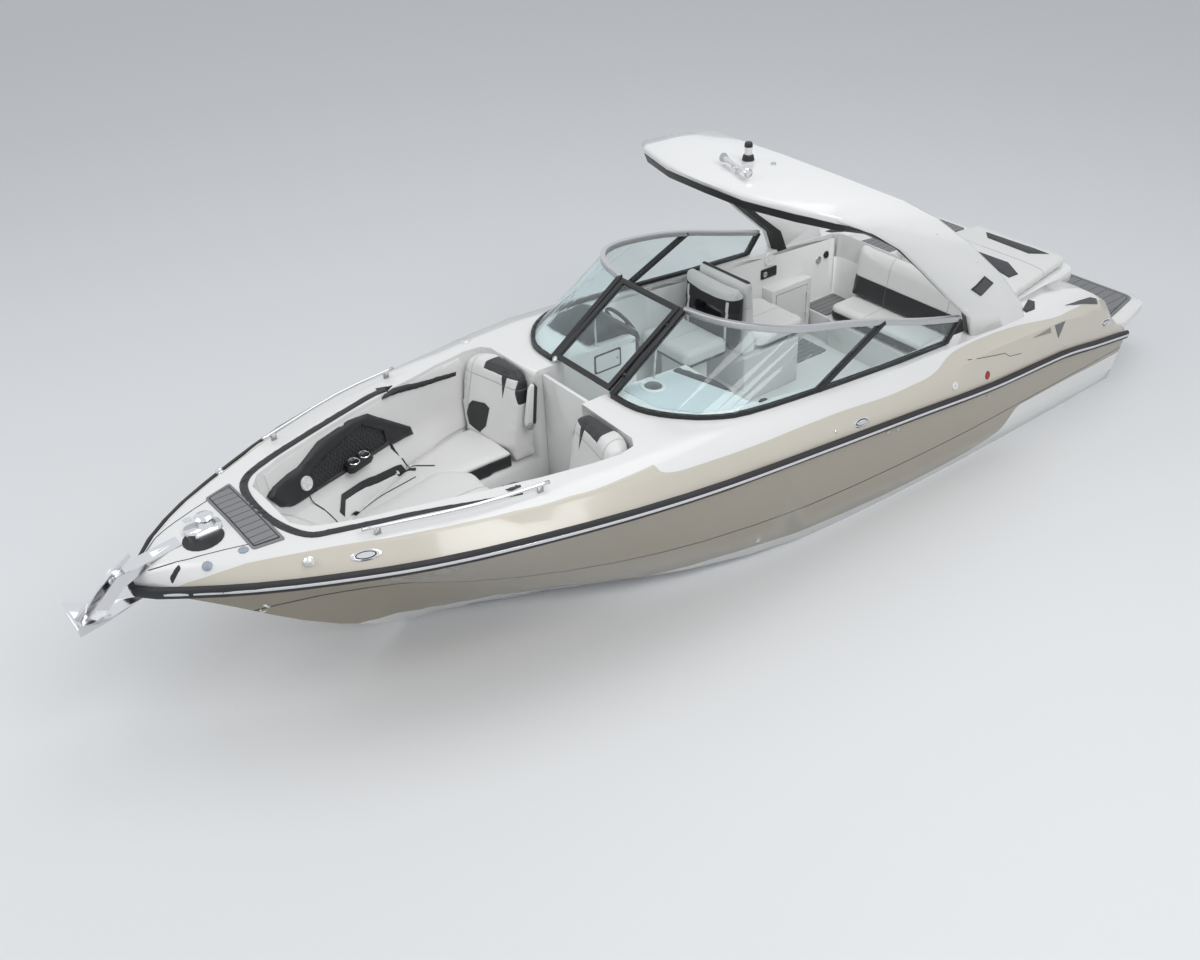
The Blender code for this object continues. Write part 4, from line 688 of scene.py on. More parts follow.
def loft_piece(name, rings, finish, angle=35.0, bevel=0.0, segments=2):
    """A capped skin over rings of equally many points."""
    count = len(rings[0])
    points = [tuple(point) for ring in rings for point in ring]
    faces = []
    for here in range(0, len(points) - count, count):
        there = here + count
        for step in range(count):
            after = (step + 1) % count
            faces.append((here + step, here + after, there + after, there + step))
    faces.append(tuple(range(count)))
    faces.append(tuple(range(len(points) - count, len(points))))
    scratch = bpy.data.meshes.new("scratch")
    scratch.from_pydata(points, [], faces)
    work = work_of(scratch)
    bpy.data.meshes.remove(scratch)
    bmesh.ops.recalc_face_normals(work, faces=work.faces)
    if bevel:
        ease_edges(work, angle, bevel, segments)
    return made_from(work, name, finish, angle)


def sweep(name, path, profile, finish, up=(0, 0, 1), **more):
    """A profile of outward and upward offsets carried along a path."""
    path = [Vector(point) for point in path]
    rings = []
    for point, before, after in with_neighbours(path):
        along = (after - before).normalized()
        out = along.cross(Vector(up)).normalized()
        rise = out.cross(along).normalized()
        rings.append([point + out * across + rise * lift for across, lift in profile])
    return loft_piece(name, rings, finish, **more)


def with_neighbours(points):
    """Each point with the one before and the one after, or itself at an end."""
    return list(zip(points, points[:1] + points[:-1], points[1:] + points[-1:]))


def turns(steps):
    """Angles once round a circle."""
    return [2 * math.pi * step / steps for step in range(steps)]


def oval(x, y, long, wide, steps=20):
    return [(x + long * math.cos(turn), y + wide * math.sin(turn)) for turn in turns(steps)]


def tube(name, path, radius, finish, **more):
    return sweep(name, path, oval(0.0, 0.0, radius, radius, 12), finish, **more)


def slab(name, outline, push, finish, **more):
    """A flat outline of points in space pushed along a vector."""
    low = [Vector(point) for point in outline]
    return loft_piece(name, [low, [point + Vector(push) for point in low]], finish, **more)


def smoothed(points, per_span=3):
    """Points along a smooth curve through the given ones."""
    points = [Vector(point) for point in points]
    made = []
    for place in range(len(points) - 1):
        before = points[max(0, place - 1)]
        start, end = points[place], points[place + 1]
        after = points[min(len(points) - 1, place + 2)]
        second = 2 * before - 5 * start + 4 * end - after
        third = 3 * start - before - 3 * end + after
        for step in range(per_span):
            part = step / per_span
            made.append(0.5 * (2 * start + (end - before) * part + second * part ** 2 + third * part ** 3))
    made.append(points[-1])
    return made


def flat_curve(points):
    """A smooth curve through points of a plane."""
    return [(point.x, point.y) for point in smoothed([(x, y, 0.0) for x, y in points], 5)]


def rounded(outline, radius, steps=5):
    """A plan outline with its corners turned on a radius."""
    made = []
    for place, corner in enumerate(outline):
        here = Vector(corner)
        before = Vector(outline[place - 1]) - here
        after = Vector(outline[(place + 1) % len(outline)]) - here
        reach = min(radius, before.length / 2, after.length / 2)
        start = here + before.normalized() * reach
        end = here + after.normalized() * reach
        for step in range(steps + 1):
            part = step / steps
            made.append(tuple(start * (1 - part) ** 2 + here * 2 * part * (1 - part) + end * part ** 2))
    return made


def ribbon(points, half, last=None):
    """The outline of a strip along a line in a plane, drawn down to the last half-width at its end."""
    points = [Vector(point) for point in points]
    left, right = [], []
    for place, (point, before, after) in enumerate(with_neighbours(points)):
        along = (after - before).normalized()
        share = place / (len(points) - 1)
        width = half if last is None else half + (last - half) * max(0.0, 4.0 * share - 3.0)
        side = Vector((-along.y, along.x)) * width
        left.append(tuple(point + side))
        right.append(tuple(point - side))
    return left + right[::-1]


def shrunk(outline, reach):
    """A convex outline drawn in from its sides."""
    turn = way_round(outline)
    lines = []
    for start, end in zip(outline, outline[1:] + outline[:1]):
        start, end = Vector(start), Vector(end)
        along = (end - start).normalized()
        inward = Vector((-along.y, along.x)) * turn
        lines.append((start + inward * reach, along))
    made = []
    for place in range(len(lines)):
        (first, way), (second, other) = lines[place - 1], lines[place]
        gap = second - first
        made.append(tuple(first + way * (gap.cross(other) / way.cross(other))))
    return made


def stud(radius, inner, shoulder, top, base=0.0):
    """A profile of four points: out along the base, up to the inner radius, and in to the middle."""
    return [(0.0, base), (radius, base), (inner, shoulder), (0.0, top)]


def button(radius, shoulder, inner, top, middle, base=0.0):
    """A profile of five points: out along the base, up to the shoulder, and over the inner edge."""
    return [(0.0, base), (radius, base), (radius, shoulder), (inner, top), (0.0, middle)]


def copied(node, plain=True):
    """A welded copy of a CAD node's mesh, its flat parts made whole."""
    work = work_of(NODES[node].data)
    bmesh.ops.remove_doubles(work, verts=work.verts, dist=0.00005)
    if plain:
        bmesh.ops.dissolve_limit(work, angle_limit=math.radians(0.6), verts=work.verts, edges=work.edges)
    return work


def dressed(node, finish, angle=32.0, bevel=0.0, plain=True, **more):
    """A node's own shape with smooth normals, eased edges and a better material."""
    work = copied(node, plain)
    if bevel:
        ease_edges(work, angle, bevel)
    bmesh.ops.triangulate(work, faces=[face for face in work.faces if len(face.verts) > 4])
    made = made_from(work, node + "_skin", finish, angle, **more)
    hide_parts(node)


def tree_over(*meshes):
    """A search tree over meshes."""
    points, faces = [], []
    for mesh in meshes:
        base = len(points)
        points += [vertex.co.copy() for vertex in mesh.vertices]
        faces += [tuple(base + index for index in face.vertices) for face in mesh.polygons]
    return BVHTree.FromPolygons(points, faces)


def tree_of(*names):
    """A search tree over CAD nodes at rest."""
    return tree_over(*[NODES[name].data for name in names])


def rim_distance(point, outlines):
    """How far a plan point lies from the nearest side of the outlines."""
    least = 1e9
    for outline in outlines:
        for start, end in zip(outline, outline[1:] + outline[:1]):
            start, end = Vector(start), Vector(end)
            span = end - start
            share = max(0.0, min(1.0, (point - start).dot(span) / max(span.length_squared, 1e-12)))
            least = min(least, (point - start - span * share).length)
    return least


def flat_sheet(loops, across, pitch):
    """A sheet between outlines in two of the axes, cut up at the pitch."""
    work = bmesh.new()
    made = []
    for x, y in [point for loop in loops for point in loop]:
        place = [0.0, 0.0, 0.0]
        place[across[0]], place[across[1]] = x, y
        made.append(work.verts.new(place))
    for shape in tessellate_polygon([[Vector((*point, 0.0)) for point in loop] for loop in loops]):
        work.faces.new([made[index] for index in shape])
    for number, side in enumerate(across):
        levels = [point[number] for point in loops[0]]
        level = min(levels) + pitch
        while level < max(levels) - 0.2 * pitch:
            centre, normal = Vector((0.0, 0.0, 0.0)), Vector((0.0, 0.0, 0.0))
            centre[side], normal[side] = level, 1.0
            parts = list(work.verts) + list(work.edges) + list(work.faces)
            bmesh.ops.bisect_plane(work, geom=parts, plane_co=centre, plane_no=normal, dist=1e-5)
            level += pitch
    return work


def draped(name, outline, tree, cast, thick, finish, pitch=0.03, ease=0.0, hole=None, **more):
    """A pad on a surface: an outline in two coordinates, cast along the third from a start."""
    axis, start, way = cast
    across = [place for place in range(3) if place != axis]
    line = Vector((0.0, 0.0, 0.0))
    line[axis] = way
    loops = [outline, hole] if hole else [outline]
    work = flat_sheet(loops, across, pitch)
    made = bmesh.ops.extrude_face_region(work, geom=list(work.faces))
    raised = {item for item in made["geom"] if isinstance(item, bmesh.types.BMVert)}
    heights = {}
    for vertex in work.verts:
        origin = vertex.co.copy()
        origin[axis] = start
        hit = tree.ray_cast(origin, line)[0]
        if hit is not None:
            heights[vertex] = hit[axis]
    middle = sum(heights.values()) / max(1, len(heights))
    for vertex in work.verts:
        rise = PAD_LIFT
        if vertex in raised:
            rim = rim_distance(Vector((vertex.co[across[0]], vertex.co[across[1]])), loops)
            share = min(1.0, rim / ease) if ease else 1.0
            rise += thick * (0.35 + 0.65 * math.sqrt(max(0.0, 1.0 - (1.0 - share) ** 2)))
        vertex.co[axis] = heights.get(vertex, middle) - way * rise
    bmesh.ops.recalc_face_normals(work, faces=work.faces)
    return made_from(work, name, finish, 60 if ease else 40, **more)


def on_deck(name, outline, thick, finish, tree=None, **more):
    """A pad laid on the deck from above."""
    return draped(name, outline, tree or TOP, (2, CAST_FROM, -1), thick, finish, **more)


def on_wall(name, outline, side, thick, finish, **more):
    """A pad on the inner face of a side wall, its outline in x and z."""
    return draped(name, outline, TOP, (1, 0.0, side), thick, finish, **more)


def on_side(name, outline, side, thick, finish, tree=None, **more):
    """A pad on the outer side, its outline in x and z."""
    return draped(name, outline, tree or HULL, (1, CAST_FROM * side, -side), thick, finish, **more)


def fitting(name, place, normal, profile, finish, along=(1, 0, 0), stretch=1.0, steps=28):
    """A turned piece that stands on a surface, drawn out along it by the stretch."""
    axis = Vector(normal).normalized()
    side = (Vector(along) - axis * axis.dot(Vector(along))).normalized()
    other = axis.cross(side)
    rings = []
    for radius, rise in profile:
        radius = max(radius, 1e-5)
        rings.append([
            Vector(place) + side * (x * stretch) + other * y + axis * rise
            for x, y in oval(0.0, 0.0, radius, radius, steps)
        ])
    return loft_piece(name, rings, finish)


def struck(tree, start, way):
    """Place and normal where a ray meets a surface."""
    return tree.ray_cast(Vector(start), Vector(way))[:2]


def side_place(x, z, side, tree=None):
    """Place and normal on the outer side."""
    return struck(tree or HULL, (x, side * CAST_FROM, z), (0, -side, 0))


def deck_place(x, y, tree=None):
    """Place and normal on the deck, from above."""
    return struck(tree or TOP, (x, y, CAST_FROM), (0, 0, -1))


def wall_y(x, z, side):
    """Where the inner face of the side wall or the arch's foot is."""
    hits = [struck(tree, (x, 0.0, z), (0, side, 0))[0] for tree in (TOP, ARCH_SKIN)]
    return min((hit.y for hit in hits if hit is not None), key=abs)


def stacked(rings):
    """A closed shape over rings of plan points with their heights."""
    work = bmesh.new()
    loops = [[work.verts.new(point) for point in ring] for ring in rings]
    count = len(loops[0])
    for lower, upper in zip(loops, loops[1:]):
        for place in range(count):
            after = (place + 1) % count
            work.faces.new((lower[place], lower[after], upper[after], upper[place]))
    work.faces.new(loops[0])
    work.faces.new(loops[-1])
    bmesh.ops.recalc_face_normals(work, faces=work.faces)
    return work


def pad_block(outline, low, high, ease):
    """A pad's plain shape with upright sides and an eased upper edge."""
    centre = Vector((sum(x for x, _ in outline), sum(y for _, y in outline))) / len(outline)
    inner = []
    for point in outline:
        away = Vector(point) - centre
        inner.append(tuple(centre + away * (1.0 - ease / away.length)))
    levels = ((outline, low), (outline, high - ease), (inner, high))
    return stacked([[(x, y, level) for x, y in shape] for shape, level in levels])


def cushion(node, finish, voxel=0.02, shrink=0.008, fill=0.6, shape=None, name=None, **more):
    """A stuffed pad: a node's shape or a given one, drawn in, filled and held in its own space."""
    work = shape or copied(node)
    low = [min(vertex.co[axis] for vertex in work.verts) for axis in range(3)]
    high = [max(vertex.co[axis] for vertex in work.verts) for axis in range(3)]
    name = name or node + "_cushion"
    mesh = bpy.data.meshes.new(name)
    work.to_mesh(mesh)
    work.free()
    made = linked(name, mesh)
    remesh = made.modifiers.new("remesh", "REMESH")
    remesh.mode = "VOXEL"
    remesh.voxel_size = voxel
    bake(made)
    work = work_of(made.data)
    work.normal_update()
    moves = [(vertex, vertex.co - vertex.normal * shrink) for vertex in work.verts]
    for vertex, place in moves:
        vertex.co = place
    every_way = {"use_axis_x": True, "use_axis_y": True, "use_axis_z": True}
    for _ in range(4):
        bmesh.ops.smooth_vert(work, verts=work.verts, factor=0.5, **every_way)
    work.to_mesh(made.data)
    work.free()
    puff(made)
    least = [low[0] + 0.001, low[1] + 0.001, low[2] + 0.0005]
    most = [high[0] - 0.001, high[1] - 0.001, high[2] + PAD_PROUD]
    for vertex in made.data.vertices:
        vertex.co = [min(max(at, start), end) for at, start, end in zip(vertex.co, least, most)]
    finer = made.modifiers.new("finer", "SUBSURF")
    finer.levels = 1
    finer.render_levels = 1
    bake(made)
    made.data.shade_smooth()
    ready(made, finish, **more)
    if node:
        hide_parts(node)
    return made


def bake(made):
    """Puts a piece's modifiers into its mesh."""
    bpy.context.view_layer.update()
    shape = made.evaluated_get(bpy.context.evaluated_depsgraph_get())
    mesh = bpy.data.meshes.new_from_object(shape)
    made.modifiers.clear()
    made.data = mesh


def puff(made):
    """Fills a pad like a cushion, with each point held near where it began."""
    start = [vertex.co.copy() for vertex in made.data.vertices]
    cloth = made.modifiers.new("cloth", "CLOTH")
    settings = cloth.settings
    settings.quality = 4
    settings.mass = 0.3
    settings.tension_stiffness = 12
    settings.compression_stiffness = 12
    settings.bending_stiffness = 1.5
    settings.use_pressure = True
    settings.uniform_pressure_force = PAD_PRESSURE
    settings.effector_weights.gravity = 0.0
    cloth.collision_settings.use_collision = False
    scene = bpy.context.scene
    for step in range(1, 13):
        scene.frame_set(step)
    bake(made)
    scene.frame_set(1)
    for vertex, home in zip(made.data.vertices, start):
        away = vertex.co - home
        if away.length > PAD_REACH:
            vertex.co = home + away.normalized() * PAD_REACH


HULL = tree_of("hull", "deck")
TOP = tree_of("deck", "liner", "swim_platform", "engine_hatch", "bench_base")
ARCH_SKIN = tree_of("arch")


def make_camera():
    made = linked("camera", bpy.data.cameras.new("camera"))
    made.location = CAMERA_PLACE
    made.rotation_euler = (math.radians(90 - CAMERA_PITCH), 0.0, math.radians(CAMERA_YAW - 90))
    made.data.lens = CAMERA_LENS
    made.data.sensor_width = 36.0
    made.data.shift_x, made.data.shift_y = CAMERA_SHIFT
    made.data.clip_end = 200.0
    bpy.context.scene.camera = made


def waterline():
    """The hull's half-breadths at the water, by x from the stern to the stem."""
    outline = []
    for step in range(WATER_STEPS):
        x = WATER_AFT + WATER_STEP * step
        hit = side_place(x, 0.001, 1)[0]
        if hit is not None and hit.y > 0.05:
            outline.append((x, hit.y))
    return outline


def make_floor():
    """A pale floor at the water, open inside the hull."""
    inner = [(x, y - FLOOR_UNDER) for x, y in waterline()]
    ring = inner + [(x, -y) for x, y in reversed(inner)]
    far = FLOOR_REACH
    outer = [(-far, -far), (far, -far), (far, far), (-far, far)]
    loops = [[Vector((x, y, 0)) for x, y in outer], [Vector((x, y, 0)) for x, y in ring]]
    mesh = bpy.data.meshes.new("floor")
    mesh.from_pydata([point for loop in loops for point in loop], [], tessellate_polygon(loops))
    floor = linked("floor", mesh)
    shade = Shade("floor", FLOOR, 0.6)
    floor.data.materials.append(shade.done())


def lamp(name, place, size, power):
    made = linked(name, bpy.data.lights.new(name, "AREA"))
    made.data.shape = "DISK"
    made.data.size = size
    made.data.energy = power
    made.location = place
    made.rotation_euler = (Vector(LAMP_AIM) - Vector(place)).to_track_quat("-Z", "Y").to_euler()


def make_light():
    """A pale sky, brighter where the camera or a reflection sees it, and three soft lamps."""
    world = bpy.data.worlds.new("world")
    bpy.context.scene.world = world
    world.use_nodes = True
    nodes, links = world.node_tree.nodes, world.node_tree.links
    back = nodes["Background"]
    back.inputs["Color"].default_value = (*SKY, 1.0)
    path = nodes.new("ShaderNodeLightPath")
    seen = nodes.new("ShaderNodeMath")
    seen.operation = "MAXIMUM"
    links.new(path.outputs["Is Camera Ray"], seen.inputs[0])
    links.new(path.outputs["Is Glossy Ray"], seen.inputs[1])
    level = nodes.new("ShaderNodeMapRange")
    links.new(seen.outputs[0], level.inputs["Value"])
    level.inputs["To Min"].default_value = SKY_UNSEEN
    level.inputs["To Max"].default_value = SKY_SEEN
    links.new(level.outputs["Result"], back.inputs["Strength"])
    for name, place, size, power in LAMPS:
        lamp(name, place, size, power)


def make_shells():
    """The nodes that keep their own shape."""
    paint = moulded("drive_paint")
    glass = look("tinted_glass", tinted_glass, "tinted_glass")
    dressed("hull", look("taupe_gelcoat", hull_finish, "hull_gelcoat"), angle=25)
    dressed("deck", look("white_gelcoat", deck_finish, "deck_gelcoat"), angle=33)
    dressed("liner", white_gel(), angle=30)
    dressed("swim_platform", white_gel(), angle=40)
    dressed("arch", white_gel(), angle=42)
    dressed("engine_hatch", white_gel(), bevel=0.006, body="hatch")
    dressed("walkway_door", white_gel(), bevel=0.005, body="walk_door")
    dressed("locker", white_gel(), bevel=0.004)
    dressed("locker_door", white_gel(), body="locker_lid")
    dressed("helm_base", white_gel(), bevel=0.012)
    dressed("bench_base", white_gel(), bevel=0.008)
    dressed("all_round_light", white_gel())
    dressed("rub_rail", moulded("rubber"), angle=50)
    dressed("gate_frame", black(), bevel=0.003, body="gate")
    for word, _ in SIDES:
        dressed("windscreen_frame_" + word, black(), angle=40)
        dressed("windscreen_glass_" + word, glass, angle=2, plain=False)
        dressed("grab_rail_" + word, steel(), angle=50)
        dressed("trim_tab_" + word, steel())
    dressed("gate_glass", glass, body="gate")
    for node in ("windlass", "anchor_roller", "anchor", "horn"):
        dressed(node, steel(), angle=38)
    dressed("steering_wheel", black(), angle=60, body="helm_wheel")
    dressed("engine", paint, bevel=0.02)
    dressed("gimbal_housing", paint, bevel=0.006)
    dressed("gimbal_ring", paint, bevel=0.004, body="drive_ring")
    dressed("drive_leg", paint, angle=40, body="drive")
    dressed("propeller", steel(), angle=50, body="prop")


def bow_back_finish(word, side):
    """White with charcoal panels, placed by shares of the back's breadth from outboard to inboard."""
    patches = []
    for outline in BACK_PANELS:
        corners = [(side * (BACK_OUTBOARD - BACK_BREADTH * share), z) for share, z in outline]
        patches.append(("y", "z", corners, CHARCOAL))
    seams = [("z", BACK_SEAM_Z), ("y", side * BACK_SEAM_Y)]
    return white_vinyl("bow_back_" + word, seams, (), patches)


def make_bow_cushions():
    """The seats, the backs and the centre cushion. Gives those that the bow lines lie on."""
    pads = []
    for word, side in SIDES:
        finish = white_vinyl("bow_seat", (), [BOW_SEAT_BAND])
        seat = pad_block([(x, y * side) for x, y in BOW_SEAT], *BOW_SEAT_Z, 0.02)
        pads.append(cushion("bow_seat_" + word, finish, shape=seat))
        back = stacked([[(x, y * side, z) for x, y in ring] for z, ring in BOW_BACK])
        cushion("bow_back_" + word, bow_back_finish(word, side), shape=back)
    centre = pad_block(rounded(BOW_CENTRE, 0.06), *BOW_CENTRE_Z, 0.022)
    pads.append(cushion(None, white_vinyl("bow_centre", [("y", 0.0)]), shape=centre, name="bow_centre"))
    return pads


def make_bow_lines(pads):
    """The dark splits and the charcoal stroke over the bow seats and the walls beside them."""
    skin = tree_over(*[pad.data for pad in pads])
    for word, side in SIDES:
        for number, (half, points) in enumerate(BOW_LINES):
            outline = ribbon([(x, y * side) for x, y in points], half)
            finish, thick = (charcoal(), 0.009) if half > 0.01 else (black(), 0.0035)
            name = "bow_line_%s_%d" % (word, number)
            on_deck(name, outline, thick, finish, tree=skin, slot="charcoal_vinyl")


def make_sunpad():
    """The pad on the hatch, with painted shade along a crease and two quilted inserts."""
    # Painted shade: a grey line along the crease, over the seam there
    finish = white_vinyl("pad", [("x", -3.41)], (), (), [("x", "y", PAD_CREASE_SHADE, 0.003, GREY_PAD)])
    shape = pad_block(PAD_OUTLINE, *PAD_Z, 0.03)
    made = cushion("sunpad", finish, voxel=0.024, shape=shape, body="hatch")
    skin = tree_over(made.data)
    laid = {"tree": skin, "ease": 0.012, "pitch": 0.05, "body": "hatch"}
    for number, outline in enumerate(PAD_INSERTS):
        on_deck("sunpad_insert_%d" % number, outline, 0.006, quilted("quilt_top", "x", "y"), **laid)


def make_seats(rows):
    for node, name, voxel, seams, band in rows:
        cushion(node, white_vinyl(name, seams, [band]), voxel=voxel)


def make_helm_back():
    """Charcoal, with white over the top and down the ends."""
    patches = [("y", "z", corners, VINYL_WHITE) for corners in HELM_PATCHES]
    rest = look("charcoal_vinyl", vinyl, "helm_rest", CHARCOAL, (), (), patches)
    cushion("helm_back", rest, voxel=0.014, shrink=0.006)


def make_bow_band():
    """The charcoal band: over the coaming, and down the walls to the seat backs."""
    over = ribbon(flat_curve(BOW_BAND), 0.026, 0.006)
    on_deck("bow_band", over, 0.014, charcoal(), pitch=0.07, ease=0.02)
    for word, side in SIDES:
        down = ribbon(flat_curve(BOW_BAND_WALL), 0.021)
        on_wall("bow_band_" + word, down, side, 0.030, charcoal(), pitch=0.07, ease=0.02)


def make_bow_bolsters():
    """The pads on the walls and the nose. Gives those that the bow lines lie on."""
    finish = white_vinyl("bolster")
    pads = []
    for word, side in SIDES:
        pads.append(on_wall("bow_bolster_" + word, BOLSTER, side, 0.016, finish, ease=0.03, pitch=0.06))
    forward = (0, 3.2, 1)
    draped("bow_bolster_front", BOLSTER_FRONT, TOP, forward, 0.016, finish, ease=0.03, pitch=0.05)
    pads.append(on_deck("bow_nose_pad", BOW_NOSE, 0.035, finish, ease=0.035))
    return pads


def make_bow_pocket():
    """The quilted pocket in each bow wall, with a ledge, two cup holders and a speaker."""
    for word, side in SIDES:
        on_wall("pocket_rim_" + word, POCKET, side, 0.042, charcoal(), ease=0.025, hole=POCKET_HOLE)
        on_wall("pocket_quilt_" + word, POCKET_INSIDE, side, 0.020, quilted("quilt_wall", "x", "z"))
        corners = [(x, wall_y(x, 1.075, side) - side * out, 1.088) for x, out in CUP_LEDGE]
        slab("cup_ledge_" + word, corners, (0, 0, -0.055), black(), bevel=0.008)
        for number, x in enumerate(BOW_CUPS_X):
            y = wall_y(x, 1.075, side) - side * 0.062
            cup_holder("bow_cup_%s_%d" % (word, number), (x, y, 1.090), (0, -side * 0.12, 0.99), 0.036)
        y = wall_y(BOW_SPEAKER_X, BOW_SPEAKER_Z, side) - side * 0.042
        place = (BOW_SPEAKER_X, y, BOW_SPEAKER_Z)
        speaker("bow_speaker_" + word, place, (-0.42, -side * 0.88, 0.20), 0.052)


def scaled(radius, profile):
    """A profile with its distances from the axis given as shares of the radius."""
    return [(radius * share, rise) for share, rise in profile]


def cup_holder(name, place, normal, radius):
    """A steel ring round a dark well."""
    fitting(name + "_ring", place, normal, scaled(radius, CUP_RING), steel())
    fitting(name + "_well", place, normal, scaled(radius, stud(0.93, 0.93, -0.018, -0.018, -0.029)), black())


def speaker(name, place, normal, radius):
    """A white grille: a ring with spokes and a cap over a dark cone."""
    axis = Vector(normal).normalized()
    fitting(name + "_ring", place, axis, scaled(radius, SPEAKER_RING), white_gel())
    fitting(name + "_cone", place, axis, scaled(radius, stud(0.82, 0.82, 0.005, 0.005, 0.001)), black())
    fitting(name + "_cap", place, axis, scaled(radius, stud(0.24, 0.22, 0.014, 0.017, 0.004)), white_gel())
    side = axis.orthogonal().normalized()
    other = axis.cross(side)
    for number, turn in enumerate(turns(6)):
        out = side * math.cos(turn) + other * math.sin(turn)
        wide = axis.cross(out) * radius * 0.10
        start = Vector(place) + axis * 0.004 + out * radius * 0.16
        end = Vector(place) + axis * 0.004 + out * radius * 0.84
        corners = [start - wide * 0.5, start + wide * 0.5, end + wide, end - wide]
        slab(name + "_spoke_%d" % number, corners, axis * 0.008, white_gel(), bevel=0.0015)


def make_bow_armrest():
    """The folding armrest on the starboard back. On port the walkway's door swings through the place."""
    finish = white_vinyl("armrest", (), (), [("x", "z", ARMREST_PANEL, CHARCOAL)])
    outline = [(x, -0.307, z) for x, z in ARMREST]
    slab("bow_armrest", outline, (0, 0.034, 0), finish, bevel=0.010, segments=3)
    hub = button(0.030, 0.018, 0.024, 0.024, 0.024)
    fitting("bow_armrest_hub", (1.500, -0.276, 0.985), (0, 1, 0), hub, moulded("grey_plastic"))


def make_foredeck():
    """The step pad, the well, lines and fittings on the deck before the bow well."""
    inside = rounded(BOW_STEP_IN, 0.012)
    on_deck("bow_step_edge", rounded(BOW_STEP, 0.02), 0.006, moulded("grey_pad"))
    line = rounded(BOW_STEP_LINE, 0.012)
    on_deck("bow_step_line", line, 0.008, moulded("rubber"), hole=inside, slot="black_trim")
    on_deck("bow_step", inside, 0.009, planks("bow_planks", 0.066))
    on_deck("windlass_well", oval(4.095, 0.075, 0.125, 0.115), 0.003, black())
    on_deck("foredeck_hatch_line", ribbon([(3.905, -0.30), (3.905, 0.30)], 0.003), 0.001, black())
    for number, points in enumerate(FOREDECK_LINES):
        on_deck("foredeck_line_%d" % number, ribbon(points, 0.003), 0.001, black())
    for number, (x, y) in enumerate(FOOT_SWITCHES):
        dome = button(0.030, 0.006, 0.020, 0.014, 0.017)
        fitting("foot_switch_%d" % number, *deck_place(x, y), dome, moulded("switch_cap"))
    on_deck("foredeck_latch", rounded(LATCH, 0.008), 0.006, steel())
    on_deck("foredeck_scupper", rounded(ribbon([(4.30, 0.20), (4.37, 0.195)], 0.012), 0.008), 0.003, black())
    cap = button(0.030, 0.004, 0.024, 0.008, 0.009)
    fitting("side_cap_starboard", *deck_place(*SIDE_CAP_AT), cap, steel(), stretch=1.6)
    for word, side in SIDES:
        x, y = BOW_LIGHT_AT
        fitting("bow_light_" + word, *deck_place(x, side * y), BOW_LIGHT, steel())
        x, y = BOW_CLEAT_AT
        popup_cleat("bow_cleat_" + word, *deck_place(x, side * y), (1.0, -side * 0.42, 0))
        popup_cleat("mid_cleat_" + word, *side_place(*MID_CLEAT_AT, side), (1, 0, 0.1))


def popup_cleat(name, place, normal, along):
    """A flush oval cleat: a rim, a dark gap and the cleat's bar."""
    gap = stud(0.024, 0.024, 0.005, 0.005, 0.002)
    bar = stud(0.019, 0.018, 0.008, 0.0105, 0.002)
    fitting(name + "_rim", place, normal, CLEAT_RIM, steel(), along=along, stretch=2.7)
    fitting(name + "_gap", place, normal, gap, black(), along=along, stretch=2.7)
    fitting(name + "_bar", place, normal, bar, steel(), along=along, stretch=3.1)


def screen_head(side):
    """The windscreen's upper edge on one side."""
    return smoothed([(x, y * side, z) for x, y, z in SCREEN_HEAD])


def make_screen_trim():
    """The gate's latch, the struts inside the screen and the screws along its top rail."""
    cap = button(0.024, 0.008, 0.016, 0.014, 0.015)
    fitting("gate_latch", (1.215, -0.300, 1.440), (0.75, 0.0, 0.66), cap, aluminium())
    foot = button(0.020, 0.004, 0.011, 0.010, 0.010)
    for word, side in SIDES:
        path = [(x, side * y, z) for x, y, z in STRUT]
        tube("screen_strut_" + word, path, 0.009, steel())
        fitting("strut_foot_" + word, (0.800, side * 0.345, 1.384), (0, 0, 1), foot, steel())
        head = screen_head(side)
        for number in range(2, len(head) - 1, 2):
            out = (head[number + 1] - head[number - 1]).cross(Vector((0, 0, 1))).normalized()
            if out.y * side < 0:
                out.negate()
            place = (head[number] + head[number + 1]) / 2 + out * 0.0205
            screw = stud(0.0045, 0.003, 0.002, 0.0022)
            fitting("rail_screw_%s_%d" % (word, number), place, out, screw, steel(), steps=10)


def make_port_console():
    """The round hatch, the tray round it and the padded band on the port console."""
    place, normal = deck_place(*CONSOLE_HATCH)
    fitting("console_ring", place, normal, CONSOLE_RING, white_gel())
    fitting("console_lid", place, normal, button(0.068, 0.006, 0.060, 0.010, 0.013), moulded("smoke"))
    opening = oval(*CONSOLE_HATCH, 0.1, 0.1)
    on_deck("console_tray", rounded(CONSOLE_TRAY, 0.03), 0.004, moulded("tray"), hole=opening)
    on_deck("console_band", rounded(CONSOLE_BAND, 0.015), 0.022, charcoal(), ease=0.02)


def make_door_trim():
    """The seam on the starboard console's front, and the panel in the walkway's wall."""
    seam = ribbon([(-0.285, 0.62), (-0.285, 1.34)], 0.002)
    aft = (0, 2.2, -1)
    draped("console_seam", seam, tree_of("deck", "liner"), aft, 0.001, moulded("seam_grey"), pitch=0.2)
    on_wall("walkway_panel_edge", rounded(WALK_PANEL_EDGE, 0.02), -1, 0.004, black())
    on_wall("walkway_panel", rounded(WALK_PANEL, 0.02), -1, 0.006, white_gel())
    place = (0.64, wall_y(0.744, 1.27, -1) + 0.006, 1.26)
    fitting("panel_lock", place, (0, 1, 0), stud(0.010, 0.010, 0.004, 0.006), steel(), steps=14)


